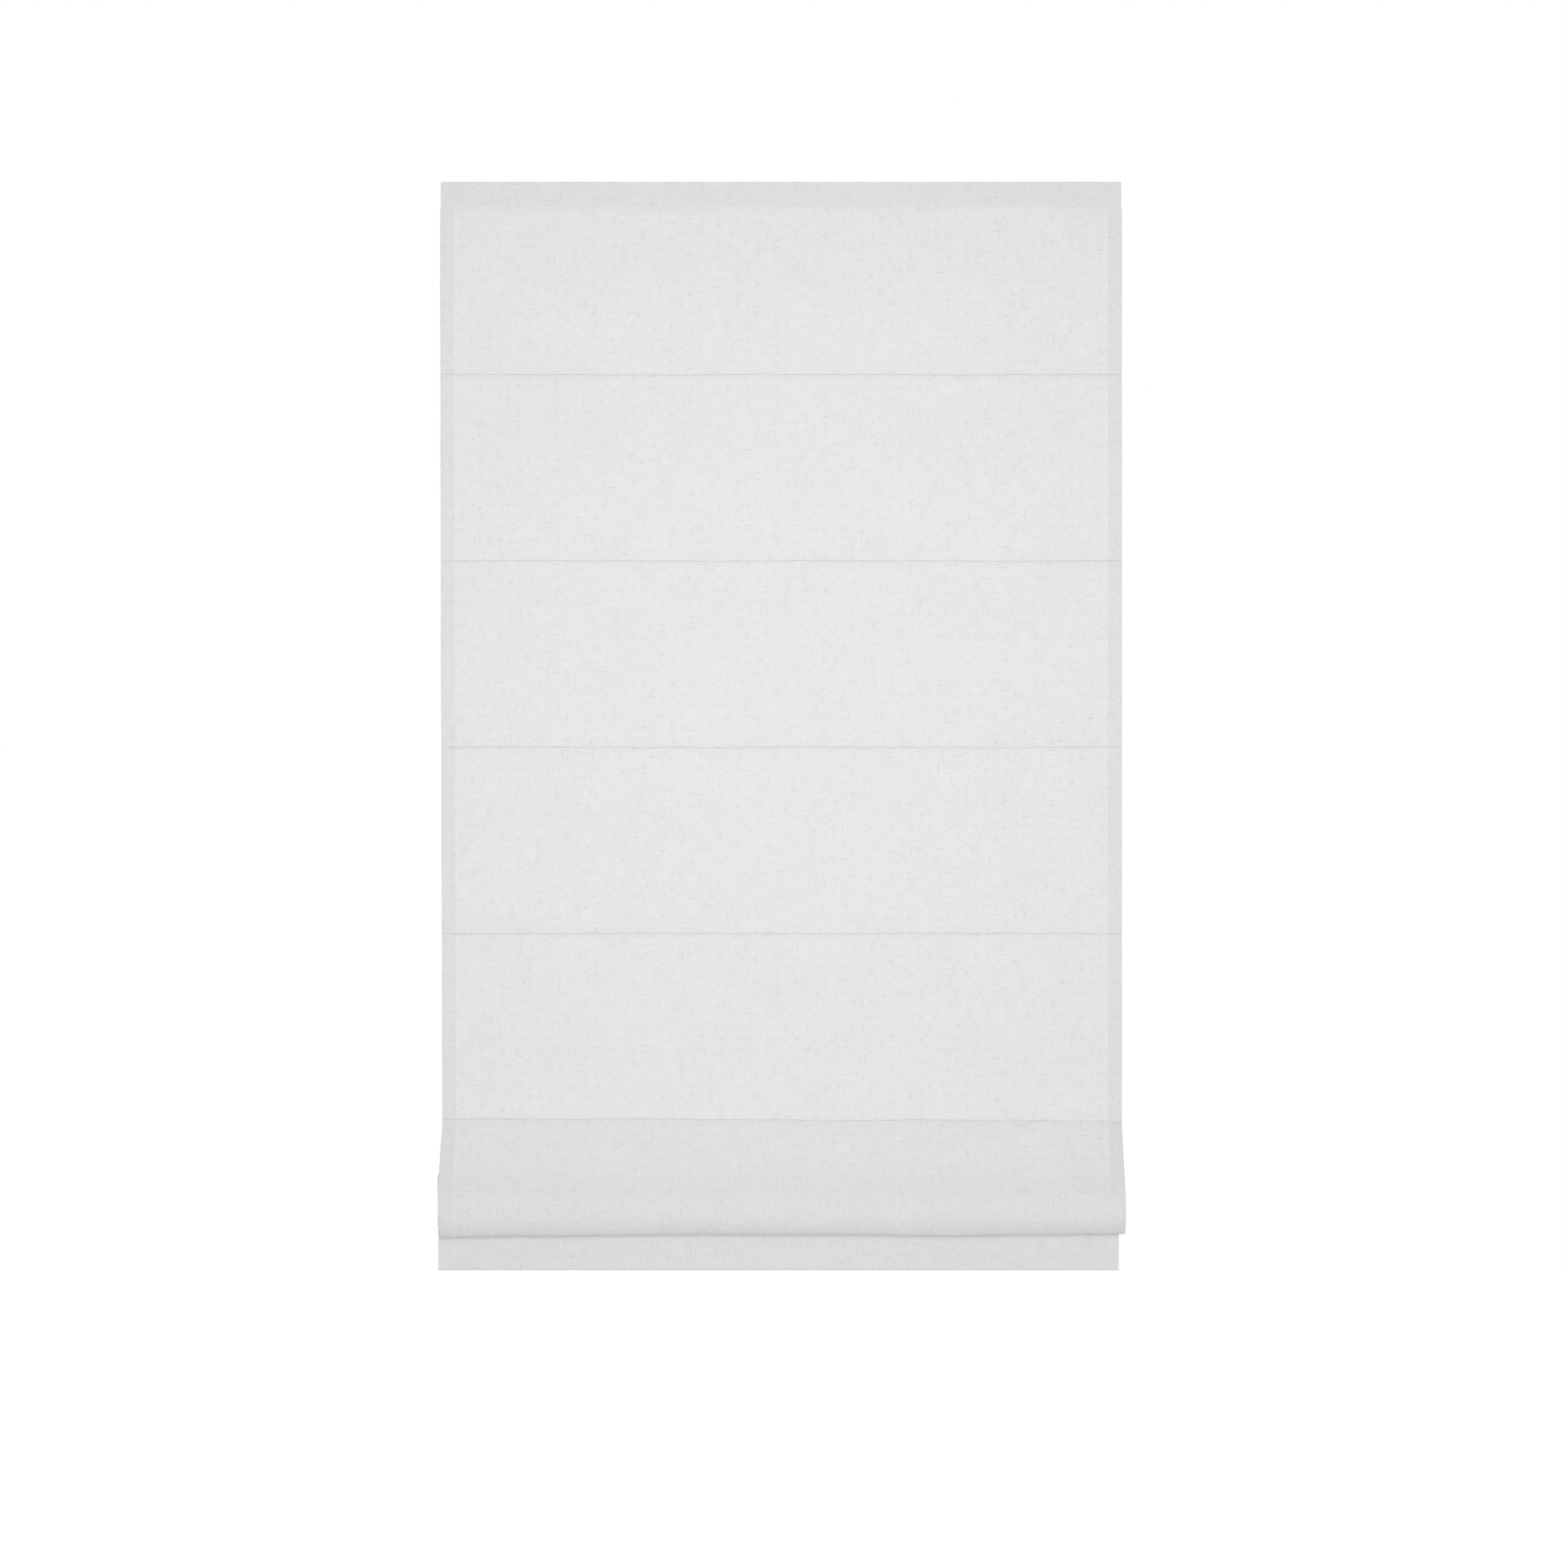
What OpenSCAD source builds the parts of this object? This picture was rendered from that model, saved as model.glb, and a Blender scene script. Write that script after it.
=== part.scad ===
// Roman blind: one sheet of cloth, tucked round hidden rods, hung from a spring-lift headrail.
// Millimetres. The wall is the plane y = 0, the room is towards -y, and +z is up.
// The origin is the middle of the four wall screws.

/* [Cloth] */
// Finished width of the cloth
cloth_w = 1000; // [700:10:1400]
// Thickness of one layer of cloth
cloth_t = 0.6; // [0.4:0.05:0.9]
// Depth of the hem turned over along the top edge
top_hem = 37; // [25:1:60]
// Width of the hems down both sides
side_hem = 20; // [12:1:40]
// Depth of the hem along the bottom edge
bottom_hem = 62; // [45:1:90]
// Drop from the top edge to the first rod
first_drop = 283; // [180:1:400]
// Spacing of the rods down the flat cloth
rod_pitch = 273.5; // [220:0.5:400]
// Length of the tail from the last rod to the bottom edge
tail_drop = 136; // [110:1:200]
// How far a hanging panel bows into the room
panel_belly = 3; // [0:0.5:8]

/* [Last pleat] */
// Height between the last two rods while the last pleat hangs
pleat_rise = 85; // [60:1:120]
// Distance from the cloth to the middle of the pleat's roll
pleat_out = 34; // [25:1:60]
// Radius of the pleat's roll
pleat_r = 16; // [8:1:22]

/* [Rods] */
// Number of rods
rod_count = 6; // [3:1:8]
// Diameter of a rod
rod_d = 4; // [3:0.5:6]
// Distance from the side edge of the cloth to the end of a rod
rod_inset = 20; // [10:1:40]
// Wall of the cap on each rod end
rod_cap_wall = 0.5; // [0.4:0.1:1]
// Length of the cap on each rod end
rod_cap_len = 14; // [8:1:25]
// Length of a stitched tuck, from the front fold to the rod tunnel
tuck_len = 4; // [2:0.5:10]
// Radius at which the cloth turns into a tuck
turn_r = 2; // [1.5:0.1:4]

/* [Cords and rings] */
// Distance from the side edge of the cloth to a lift cord
cord_inset = 165; // [120:5:250]
// Diameter of a lift cord
cord_d = 1.4; // [0.9:0.1:2]
// Outer diameter of a cord ring
ring_d = 12; // [9:0.5:16]
// Wire diameter of a cord ring
ring_wire = 2.2; // [1.5:0.1:3]
// Diameter of the stop on the end of a lift cord
stop_d = 10; // [8:0.5:14]
// Height of the stop on the end of a lift cord
stop_h = 16; // [12:1:24]

/* [Headrail] */
// Height of the rail
rail_h = 36; // [33:1:45]
// Wall of the rail
rail_wall = 1.4; // [1:0.1:2]
// Reach of the lips over the open top, from the rail's inner faces
rail_lip = 5; // [4:0.5:7]
// Depth of the rib that hangs from each lip
lip_drop = 2.6; // [1.5:0.1:4]
// Outer corner radius of the rail
rail_corner = 2; // [0.5:0.5:3]
// Distance from the side edge of the cloth to the outer face of an end cap
rail_inset = 4; // [1:1:15]
// Thickness of an end cap's plate
end_plate = 2.5; // [1.5:0.5:4]
// Reach of an end cap's plug into the rail
plug_len = 14; // [8:1:20]
// Wall of an end cap's plug
plug_wall = 2; // [1.5:0.5:3]
// Height of the hook and loop tapes
tape_h = 13; // [10:1:16]
// Thickness of one tape
tape_t = 1.5; // [1:0.1:2]

/* [Lift] */
// Width of the square lift shaft
shaft_w = 6; // [5:0.5:7]
// Diameter of the round end of the shaft
shaft_end_d = 5; // [3.5:0.5:5]
// Diameter of a spool's barrel
spool_d = 16; // [14:0.5:20]
// Height of a spool's flanges above its barrel
flange_rise = 3; // [2:0.5:4]
// Thickness of a spool's flanges
flange_t = 2; // [1.5:0.5:3]
// Length of a spool's barrel
barrel_len = 40; // [30:1:60]
// Diameter of a spool's journals
journal_d = 11; // [10.5:0.5:12]
// Thickness of a cradle's floor
cradle_floor = 3; // [2:0.5:4]
// Thickness of a cradle's bearing walls
cradle_wall = 3; // [2:0.5:5]
// Outer diameter of the guide that the cord leaves through
guide_d = 8; // [6:0.5:9]
// Length of the lift spring
spring_len = 200; // [120:10:300]
// Wire diameter of the lift spring
spring_wire = 2; // [1.5:0.1:2.5]
// Length of the bosses that carry the ends of the spring
boss_len = 16; // [10:1:25]
// Thickness of the fixed block at the spring's left end
anchor_t = 14; // [8:1:25]
// Length of the turning collar at the spring's right end
collar_len = 12; // [8:1:20]

/* [Brackets] */
// Distance between the middles of the two brackets
bracket_spacing = 840; // [800:10:860]
// Width of a bracket
bracket_w = 36; // [26:1:40]
// Thickness of the bracket's spring steel
bracket_t = 1.6; // [1.2:0.1:2]
// Reach of a bracket's hooks past the edges of the rail's lips
toe_grip = 1; // [0.6:0.1:2]
// Room between the bracket's back and the rail, for the screw heads
screw_room = 4.4; // [4:0.1:8]
// Diameter of the screw holes
hole_d = 4.4; // [3.5:0.1:5]
// Height between a bracket's two wall screws
wall_hole_rise = 16; // [12:1:18]
// Depth between a bracket's two ceiling screws
top_hole_run = 11; // [10:0.5:12]

/* [Bottom bar] */
// Height of the bar in the bottom hem
bar_h = 22; // [15:1:30]
// Thickness of the bar
bar_t = 3; // [2:0.5:5]
// Distance from the side edge of the cloth to the end of the bar
bar_inset = 9; // [5:1:25]
// Wall of the shoes on the bar's ends
shoe_wall = 0.7; // [0.5:0.1:1.5]
// Length of the shoes on the bar's ends
shoe_len = 16; // [10:1:30]

/* [Clearances] */
// Between a round journal or a slip fit and its seat
run_clear = 0.06; // [0.02:0.01:0.1]
// Between a soft pocket, a ring or a cord and what lies beside it
soft_clear = 0.3; // [0.2:0.05:0.5]
// Between a moulded piece and the rail that it slides into
slide_clear = 0.2; // [0.1:0.05:0.4]
// Between a turning flange and the wall beside it
flange_clear = 0.8; // [0.5:0.1:0.9]
// Between a spool's flanges and the walls of the rail
spool_room = 1.9; // [1:0.1:4]
// Height of the cloth's top edge above the brackets
top_cover = 0.4; // [0.2:0.1:2]

/* [Hidden] */
$fn = 48;

sides = [-1, 1];
arc_steps = 6;
belly_steps = 8;
overcut = 1;

// Depths behind the rail's front face
rod_cap_d = rod_d + 2 * rod_cap_wall;
tunnel_d = rod_cap_d + 2 * soft_clear;
tunnel_od = tunnel_d + 2 * cloth_t;
cloth_lead = 2 * tape_t + 1.5 * cloth_t;
tunnel_behind = turn_r + tuck_len + tunnel_d / 2;
ring_behind = tunnel_behind + tunnel_od / 2 + soft_clear + ring_d / 2;
shaft_behind = ring_behind + spool_d / 2 + cord_d / 2 + soft_clear;
flange_d = spool_d + 2 * flange_rise;
rail_depth = shaft_behind - cloth_lead + flange_d / 2 + spool_room + rail_wall;

// Depth places
rail_back_y = -bracket_t - screw_room;
rail_front_y = rail_back_y - rail_depth;
cloth_y = rail_front_y - cloth_lead;
tunnel_y = cloth_y + tunnel_behind;
cord_y = cloth_y + ring_behind;
shaft_y = cloth_y + shaft_behind;

// Height places
rail_top_z = rail_h / 2;
rail_floor_z = rail_wall - rail_h / 2;
cloth_top_z = rail_top_z + bracket_t + top_cover;
shaft_z = rail_floor_z + cradle_floor + spool_room + flange_d / 2;
lip_under_z = rail_top_z - rail_wall - lip_drop;
hook_under_z = lip_under_z - bracket_t - slide_clear;
bottom_z = seam_z(rod_count) - tail_drop;

// Places along the blind
cap_x = cloth_w / 2 - rail_inset;
rail_x = cap_x - end_plate;
cord_x = cloth_w / 2 - cord_inset;
rod_x = cloth_w / 2 - rod_inset;
bar_x = cloth_w / 2 - bar_inset;
cradle_x = barrel_len / 2 + flange_t + flange_clear;
cradle_len = 2 * (cradle_x + cradle_wall);
spring_x = spring_len / 2;

// Pockets and pieces that others are fitted to
rail_inner = rail_depth - 2 * rail_wall;
insert_w = rail_inner - 2 * slide_clear;
insert_y = (rail_back_y + rail_front_y) / 2;
hook_mouth = rail_depth - 2 * (rail_lip - toe_grip - slide_clear);
shaft_bore = shaft_w + 2 * run_clear;
boss_d = shaft_w * sqrt(2) + 4;
spring_id = boss_d + 2 * soft_clear;
hem_gap = bar_t + 2 * shoe_wall + 2 * soft_clear;
hem_r = (hem_gap + cloth_t) / 2;
hem_cavity_h = bar_h + 2 * shoe_wall + 2 * soft_clear;

// Height of the seam that holds a rod
function seam_z(k) = cloth_top_z - first_drop
    - (k < rod_count ? rod_pitch * (k - 1) : rod_pitch * (k - 2) + pleat_rise);

// Points of an arc about c, from angle a0 to angle a1
function arc(c, r, a0, a1, n = arc_steps) =
    [for (i = [0:n]) let(a = a0 + (a1 - a0) * i / n) c + r * [cos(a), sin(a)]];

// Unit vector to the left of the stretch of a path after its point i
function left_after(p, i) = let(d = p[i + 1] - p[i]) [-d[1], d[0]] / norm(d);

// Mitred vector to the left of a path at its point i
function left_of(p, i) =
    let(
        before = left_after(p, max(i - 1, 0)),
        after = left_after(p, min(i, len(p) - 2)))
    (before + after) / (1 + before * after);

// Outline of a strip that lies between two distances to the left of a path
function strip(p, near, far) = concat(
    [for (i = [0:len(p) - 1]) p[i] + near * left_of(p, i)],
    [for (i = [len(p) - 1:-1:0]) p[i] + far * left_of(p, i)]);

function path_length(p, i = 1) =
    i < len(p) ? norm(p[i] - p[i - 1]) + path_length(p, i + 1) : 0;

// Centre of the turn out of a tuck, below its seam
function turn_below(z) = [cloth_y + turn_r, z - cloth_t / 2 - turn_r];

// Centre of the turn into a tuck, above its seam
function turn_above(z) = [cloth_y + turn_r, z + cloth_t / 2 + turn_r];

// Points of a panel between two heights, bowed into the room
function belly(z0, z1) =
    [for (i = [1:belly_steps - 1])
        let(s = i / belly_steps) [cloth_y - 4 * panel_belly * s * (1 - s), z0 + (z1 - z0) * s]];

function top_path() = let(into = turn_above(seam_z(1)), hem_z = cloth_top_z - top_hem) concat(
    [[cloth_y, cloth_top_z - cloth_t], [cloth_y, hem_z]],
    belly(hem_z, into[1]),
    arc(into, turn_r, 180, 270));

function panel_path(k) =
    let(out = turn_below(seam_z(k)), into = turn_above(seam_z(k) - rod_pitch)) concat(
        arc(out, turn_r, 90, 180),
        belly(out[1], into[1]),
        arc(into, turn_r, 180, 270));

// Angle of the straight run between two circles that the path passes on given sides
function run_angle(a, b, step) =
    let(d = b - a) atan2(d[1], d[0]) - asin(step / norm(d));

// The hanging pleat: out of the last tuck but one, round the roll at z, and up into the last tuck
function pleat_path(z) =
    let(
        out = turn_below(seam_z(rod_count - 1)),
        into = turn_below(seam_z(rod_count)),
        roll = [cloth_y - pleat_out, z],
        into_r = turn_r + cloth_t,
        down = run_angle(out, roll, pleat_r - turn_r) + 360,
        up = run_angle(roll, into, -into_r - pleat_r) + 360)
    concat(
        arc(out, turn_r, 90, down - 90),
        arc(roll, pleat_r, down - 90, up - 90, 2 * arc_steps),
        arc(into, into_r, up + 90 - 360, 90));

// Height of the roll at which the pleat takes up the cloth between two rods
function roll_z(low, high, want, tries = 30) =
    let(mid = (low + high) / 2)
    tries == 0 ? mid
    : path_length(pleat_path(mid)) > want ? roll_z(mid, high, want, tries - 1)
    : roll_z(low, mid, want, tries - 1);

pleat_z = roll_z(
    seam_z(rod_count) - rod_pitch,
    seam_z(rod_count) - pleat_r - turn_r,
    path_length(panel_path(1)));

function tail_path(low) = concat(arc(turn_below(seam_z(rod_count)), turn_r, 90, 180), [[cloth_y, low]]);

// Paths that carry the side hems
function hem_paths() = concat(
    [top_path()],
    [for (k = [1:rod_count - 2]) panel_path(k)],
    [pleat_path(pleat_z), tail_path(bottom_z + bottom_hem)]);

// Stands a drawing of depth and height up, and draws it out along the blind
module along_x(length) {
    rotate([90, 0, 90])
        linear_extrude(length, center = true)
            children();
}

// Turns a shape about z into one about x
module about_x() {
    rotate([0, 90, 0])
        children();
}

module at_both_cords() {
    for (s = sides)
        translate([s * cord_x, 0, 0])
            children();
}

module rounded_box(w, h, r) {
    c = [w / 2 - r, h / 2 - r];
    polygon(concat(
        arc(c, r, 0, 90),
        arc([-c[0], c[1]], r, 90, 180),
        arc(-c, r, 180, 270),
        arc([c[0], -c[1]], r, 270, 360)));
}

// Cloth
module cloth_profile() {
    for (p = hem_paths())
        polygon(strip(p, -cloth_t / 2, cloth_t / 2));
    for (k = [1:rod_count])
        tuck_profile(seam_z(k));
    top_hem_profile();
    bottom_hem_profile();
}

// The stitched tuck, and the tunnel that the rod lies in
module tuck_profile(z) {
    crease_y = cloth_y + turn_r / 2;
    difference() {
        union() {
            translate([crease_y, z - cloth_t])
                square([tunnel_y - crease_y, 2 * cloth_t]);
            translate([tunnel_y, z])
                circle(d = tunnel_od);
        }
        translate([tunnel_y, z])
            circle(d = tunnel_d);
    }
}

module top_hem_profile() {
    fold = [cloth_y + cloth_t / 2, cloth_top_z - cloth_t];
    translate([cloth_y + cloth_t / 2, cloth_top_z - top_hem])
        square([cloth_t, top_hem - cloth_t]);
    polygon(arc(fold, cloth_t, 0, 180));
}

// The bottom edge turns up round the bar and is stitched to the back of the tail
module bottom_hem_profile() {
    fold = [cloth_y + hem_r, bottom_z + cloth_t / 2 + hem_r];
    cavity_z = bottom_z + cloth_t + hem_cavity_h;
    stitch_z = bottom_z + bottom_hem;
    back = concat(
        [[cloth_y, stitch_z]],
        arc(fold, hem_r, 180, 360),
        [[cloth_y + 2 * hem_r, cavity_z], [cloth_y + cloth_t, cavity_z + 2 * hem_gap]]);
    polygon(strip(back, -cloth_t / 2, cloth_t / 2));
    translate([cloth_y + cloth_t / 2, cavity_z + 2 * hem_gap - cloth_t])
        square([cloth_t, stitch_z - cavity_z - 2 * hem_gap + cloth_t]);
}

module cloth_panel() {
    color("#e4e4e2") {
        along_x(cloth_w)
            cloth_profile();
        for (s = sides)
            translate([s * (cloth_w - side_hem) / 2, 0, 0])
                along_x(side_hem)
                    for (p = hem_paths())
                        polygon(strip(p, cloth_t / 2, 1.5 * cloth_t));
    }
}

// Rods
module rod(k) {
    color("#f0efe9")
        translate([0, tunnel_y, seam_z(k)])
            about_x()
                cylinder(h = 2 * rod_x, d = rod_d, center = true);
}

module rod_caps(k) {
    bore_d = rod_d + 2 * run_clear;
    color("#fbfbf8")
        for (s = sides)
            translate([s * (rod_x + rod_cap_wall), tunnel_y, seam_z(k)])
                rotate([0, -90 * s, 0])
                    rotate_extrude()
                        polygon([
                            [0, 0], [rod_cap_d / 2 - rod_cap_wall, 0], [rod_cap_d / 2, rod_cap_wall],
                            [rod_cap_d / 2, rod_cap_len], [bore_d / 2, rod_cap_len],
                            [bore_d / 2, rod_cap_wall], [0, rod_cap_wall]]);
}

module cord_rings(k) {
    color("#f7f7f4")
        at_both_cords()
            translate([0, cord_y, seam_z(k)])
                rotate_extrude()
                    translate([(ring_d - ring_wire) / 2, 0])
                        circle(d = ring_wire, $fn = 32);
}

// Barrels on the ends of the lift cords, under the last rings
module cord_stops() {
    top_r = cord_d / 2 + 2;
    bore_r = cord_d / 2 + run_clear;
    shoulder = stop_d / 2 - top_r;
    color("#f7f7f4")
        at_both_cords()
            translate([0, cord_y, stop_top_z() - stop_h])
                rotate_extrude()
                    polygon([
                        [0, 0], [stop_d / 2 - 1, 0], [stop_d / 2, 1],
                        [stop_d / 2, stop_h - 2 * shoulder], [top_r, stop_h],
                        [bore_r, stop_h], [bore_r, stop_h / 3], [0, stop_h / 3]]);
}

function stop_top_z() = seam_z(rod_count) - ring_wire / 2 - soft_clear;

module lift_cord(s) {
    low_z = stop_top_z() - stop_h * 2 / 3 + soft_clear;
    color("#f5f5f2")
        translate([s * cord_x, cord_y, low_z])
            cylinder(h = shaft_z - low_z, d = cord_d, $fn = 24);
}

// Headrail
module headrail() {
    mouth = rail_inner - 2 * rail_lip;
    color("#f1f1f0")
        difference() {
            along_x(2 * rail_x)
                translate([insert_y, 0]) {
                    difference() {
                        rounded_box(rail_depth, rail_h, rail_corner);
                        square([rail_inner, rail_h - 2 * rail_wall], center = true);
                        translate([-mouth / 2, 0])
                            square([mouth, rail_h]);
                    }
                    for (s = sides)
                        translate([s * (mouth + rail_wall) / 2, lip_under_z + (rail_wall + lip_drop) / 2])
                            square([rail_wall, rail_wall + lip_drop], center = true);
                }
            at_both_cords()
                translate([0, cord_y, -rail_h / 2 - overcut])
                    cylinder(h = rail_wall + 2 * overcut, d = guide_d + 2 * slide_clear);
        }
}

// A plate and a hollow plug, both open at the top so that the brackets' hooks pass over them
module end_cap(s) {
    plug_h = hook_under_z - rail_floor_z - 2 * slide_clear;
    plug_z = (hook_under_z + rail_floor_z) / 2;
    bearing_d = shaft_end_d + 2 * run_clear;
    color("#f4f4f2")
        difference() {
            union() {
                translate([s * (rail_x + end_plate / 2), insert_y, 0])
                    along_x(end_plate)
                        difference() {
                            rounded_box(rail_depth, rail_h, rail_corner);
                            translate([-hook_mouth / 2, hook_under_z])
                                square([hook_mouth, rail_h]);
                        }
                translate([s * (rail_x - plug_len / 2), insert_y, plug_z])
                    along_x(plug_len)
                        difference() {
                            square([insert_w, plug_h], center = true);
                            square([insert_w - 2 * plug_wall, plug_h - 2 * plug_wall], center = true);
                        }
                translate([s * (rail_x - plug_len / 2), shaft_y, shaft_z])
                    about_x()
                        cylinder(h = plug_len, d = shaft_end_d + 2 * plug_wall, center = true);
            }
            translate([s * (rail_x - plug_len / 2), shaft_y, shaft_z])
                about_x()
                    cylinder(h = plug_len + 2 * slide_clear, d = bearing_d, center = true);
        }
}

// One piece of bent spring steel: a foot, the back, the top and a hook under the front lip,
// with a second hook bent down out of the top to catch the back lip
module bracket(s) {
    bend = 1.5 * bracket_t;
    mid = bracket_t / 2;
    foot_z = -rail_h / 2 + 2 * bracket_t;
    leg_y = rail_front_y + rail_wall + rail_lip + slide_clear + mid;
    back_leg_y = rail_back_y - rail_wall - rail_lip - slide_clear - mid;
    toe_z = lip_under_z - mid;
    toe_reach = rail_wall + slide_clear + mid + toe_grip;
    top_z = rail_top_z + mid;
    body_path = concat(
        [[rail_back_y, foot_z]],
        arc([-mid - bend, foot_z + bend], bend, 270, 360),
        arc([-mid - bend, top_z - bend], bend, 0, 90),
        arc([leg_y + bend, top_z - bend], bend, 90, 180),
        [[leg_y, toe_z], [leg_y - toe_reach, toe_z]]);
    hook_path = [[back_leg_y, top_z], [back_leg_y, toe_z], [back_leg_y + toe_reach, toe_z]];
    color("#d9dadb")
        translate([s * bracket_spacing / 2, 0, 0])
            difference() {
                union() {
                    along_x(bracket_w)
                        polygon(strip(body_path, -mid, mid));
                    along_x(bracket_w / 2)
                        polygon(strip(hook_path, -mid, mid));
                }
                for (t = sides) {
                    translate([0, 0, t * wall_hole_rise / 2])
                        rotate([90, 0, 0])
                            cylinder(h = 2 * bracket_t + overcut, d = hole_d, center = true);
                    translate([0, insert_y + t * top_hole_run / 2, top_z])
                        cylinder(h = bracket_t + overcut, d = hole_d, center = true);
                }
            }
}

module tape(front_y, tint) {
    color(tint)
        translate([0, front_y + tape_t / 2, rail_top_z - rail_corner - tape_h / 2])
            cube([2 * rail_x, tape_t, tape_h], center = true);
}

module hook_tape() {
    tape(rail_front_y - tape_t, "#e8e8e6");
}

module loop_tape() {
    tape(rail_front_y - 2 * tape_t, "#efefed");
}

// Lift mechanism
module lift_shaft() {
    square_x = rail_x - plug_len - flange_clear;
    end_x = rail_x - flange_clear;
    color("#c4c6c8")
        translate([0, shaft_y, shaft_z]) {
            cube([2 * square_x, shaft_w, shaft_w], center = true);
            about_x()
                cylinder(h = 2 * end_x, d = shaft_end_d, center = true);
        }
}

module on_shaft(x) {
    translate([x, shaft_y, shaft_z])
        children();
}

module shaft_hole(length) {
    cube([length + 2 * overcut, shaft_bore, shaft_bore], center = true);
}

module cord_spool(s) {
    barrel_x = barrel_len / 2;
    flange_x = barrel_x + flange_t;
    end_x = cradle_x + cradle_wall;
    flange_r = flange_d / 2;
    color("#ececea")
        on_shaft(s * cord_x)
            difference() {
                about_x()
                    rotate_extrude()
                        polygon([
                            [0, -end_x], [journal_d / 2, -end_x], [journal_d / 2, -flange_x],
                            [flange_r, -flange_x], [flange_r, -barrel_x - flange_t / 2],
                            [spool_d / 2, -barrel_x], [spool_d / 2, barrel_x],
                            [flange_r, barrel_x + flange_t / 2], [flange_r, flange_x],
                            [journal_d / 2, flange_x], [journal_d / 2, end_x], [0, end_x]]);
                shaft_hole(2 * end_x);
            }
}

// A tray in the rail: two bearing walls for the spool, snap ears under the lips, and the cord guide
module spool_cradle(s) {
    ear_h = lip_under_z - slide_clear - rail_floor_z;
    wall_h = shaft_z - rail_floor_z + journal_d / 4;
    bearing_d = journal_d + 2 * run_clear;
    guide_low_z = -rail_h / 2 - rail_wall;
    guide_h = rail_floor_z + cradle_floor - guide_low_z;
    color("#e9e9e7")
        translate([s * cord_x, 0, 0])
            difference() {
                union() {
                    translate([0, insert_y, rail_floor_z + cradle_floor / 2])
                        cube([cradle_len, insert_w, cradle_floor], center = true);
                    for (t = sides) {
                        translate([t * (cradle_x + cradle_wall / 2), insert_y, rail_floor_z + wall_h / 2])
                            cube([cradle_wall, insert_w, wall_h], center = true);
                        translate([0, insert_y + t * (insert_w - rail_wall) / 2, rail_floor_z + ear_h / 2])
                            cube([barrel_len / 2, rail_wall, ear_h], center = true);
                    }
                    translate([0, cord_y, guide_low_z])
                        cylinder(h = guide_h, d = guide_d);
                }
                translate([0, shaft_y, shaft_z]) {
                    about_x()
                        cylinder(h = cradle_len + overcut, d = bearing_d, center = true);
                    translate([0, 0, bearing_d / 2])
                        cube([cradle_len + overcut, bearing_d, bearing_d], center = true);
                }
                translate([0, cord_y, guide_low_z - overcut])
                    cylinder(h = guide_h + 2 * overcut, d = cord_d + 2 * soft_clear, $fn = 24);
            }
}

module spring_anchor() {
    anchor_h = lip_under_z - slide_clear - rail_floor_z;
    color("#e9e9e7")
        difference() {
            union() {
                translate([-spring_x - anchor_t / 2, insert_y, rail_floor_z + anchor_h / 2])
                    cube([anchor_t, insert_w, anchor_h], center = true);
                on_shaft(-spring_x + boss_len / 2)
                    about_x()
                        cylinder(h = boss_len, d = boss_d, center = true);
            }
            on_shaft(-spring_x)
                about_x()
                    cylinder(h = 2 * (anchor_t + boss_len), d = boss_d - 2 * rail_wall, center = true);
        }
}

module spring_collar() {
    collar_d = spring_id + 4 * spring_wire;
    color("#ececea")
        difference() {
            union() {
                on_shaft(spring_x + soft_clear + collar_len / 2)
                    about_x()
                        cylinder(h = collar_len, d = collar_d, center = true);
                on_shaft(spring_x - boss_len / 2 + soft_clear)
                    about_x()
                        cylinder(h = boss_len + overcut, d = boss_d, center = true);
            }
            on_shaft(spring_x)
                shaft_hole(2 * (boss_len + collar_len));
        }
}

// Close-wound spring, drawn as a sleeve with one ridge for each turn
module lift_spring() {
    turns = floor(spring_len / spring_wire);
    pitch = spring_len / turns;
    ridge_r = spring_id / 2 + spring_wire;
    groove_r = spring_id / 2 + spring_wire / 2;
    ridges = [for (i = [0:turns - 1], c = [[groove_r, 0], [ridge_r, 0.5]]) [c[0], (i + c[1]) * pitch]];
    color("#9fa3a6")
        on_shaft(-spring_x)
            about_x()
                rotate_extrude($fn = 32)
                    polygon(concat(
                        [[spring_id / 2, 0]],
                        ridges,
                        [[groove_r, spring_len], [spring_id / 2, spring_len]]));
}

// Bottom bar
module bar_outline(grow) {
    r = bar_t / 2 + grow;
    flat = bar_h / 2 - bar_t / 2;
    polygon(concat(arc([0, flat], r, 0, 180), arc([0, -flat], r, 180, 360)));
}

module at_bar(x) {
    translate([x, cloth_y + hem_r, bottom_z + cloth_t + hem_cavity_h / 2])
        children();
}

module bottom_bar() {
    color("#d6d8da")
        at_bar(0)
            along_x(2 * bar_x)
                bar_outline(0);
}

module bottom_bar_shoes() {
    color("#f7f7f4")
        for (s = sides)
            at_bar(s * (bar_x + shoe_wall - shoe_len / 2))
                difference() {
                    along_x(shoe_len)
                        bar_outline(shoe_wall);
                    translate([-s * shoe_wall, 0, 0])
                        along_x(shoe_len)
                            bar_outline(run_clear);
                }
}

headrail();
end_cap(-1);  // end_cap_left
end_cap(1);  // end_cap_right
bracket(-1);  // bracket_left
bracket(1);  // bracket_right
spool_cradle(-1);  // spool_cradle_left
spool_cradle(1);  // spool_cradle_right
spring_anchor();
lift_spring();
lift_shaft();
cord_spool(-1);  // cord_spool_left
cord_spool(1);  // cord_spool_right
spring_collar();
hook_tape();
loop_tape();
cloth_panel();
lift_cord(-1);  // lift_cord_left
lift_cord(1);  // lift_cord_right
for (k = [1:rod_count]) {
    rod(k);
    rod_caps(k);
    cord_rings(k);
}
cord_stops();
bottom_bar();
bottom_bar_shoes();
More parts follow.
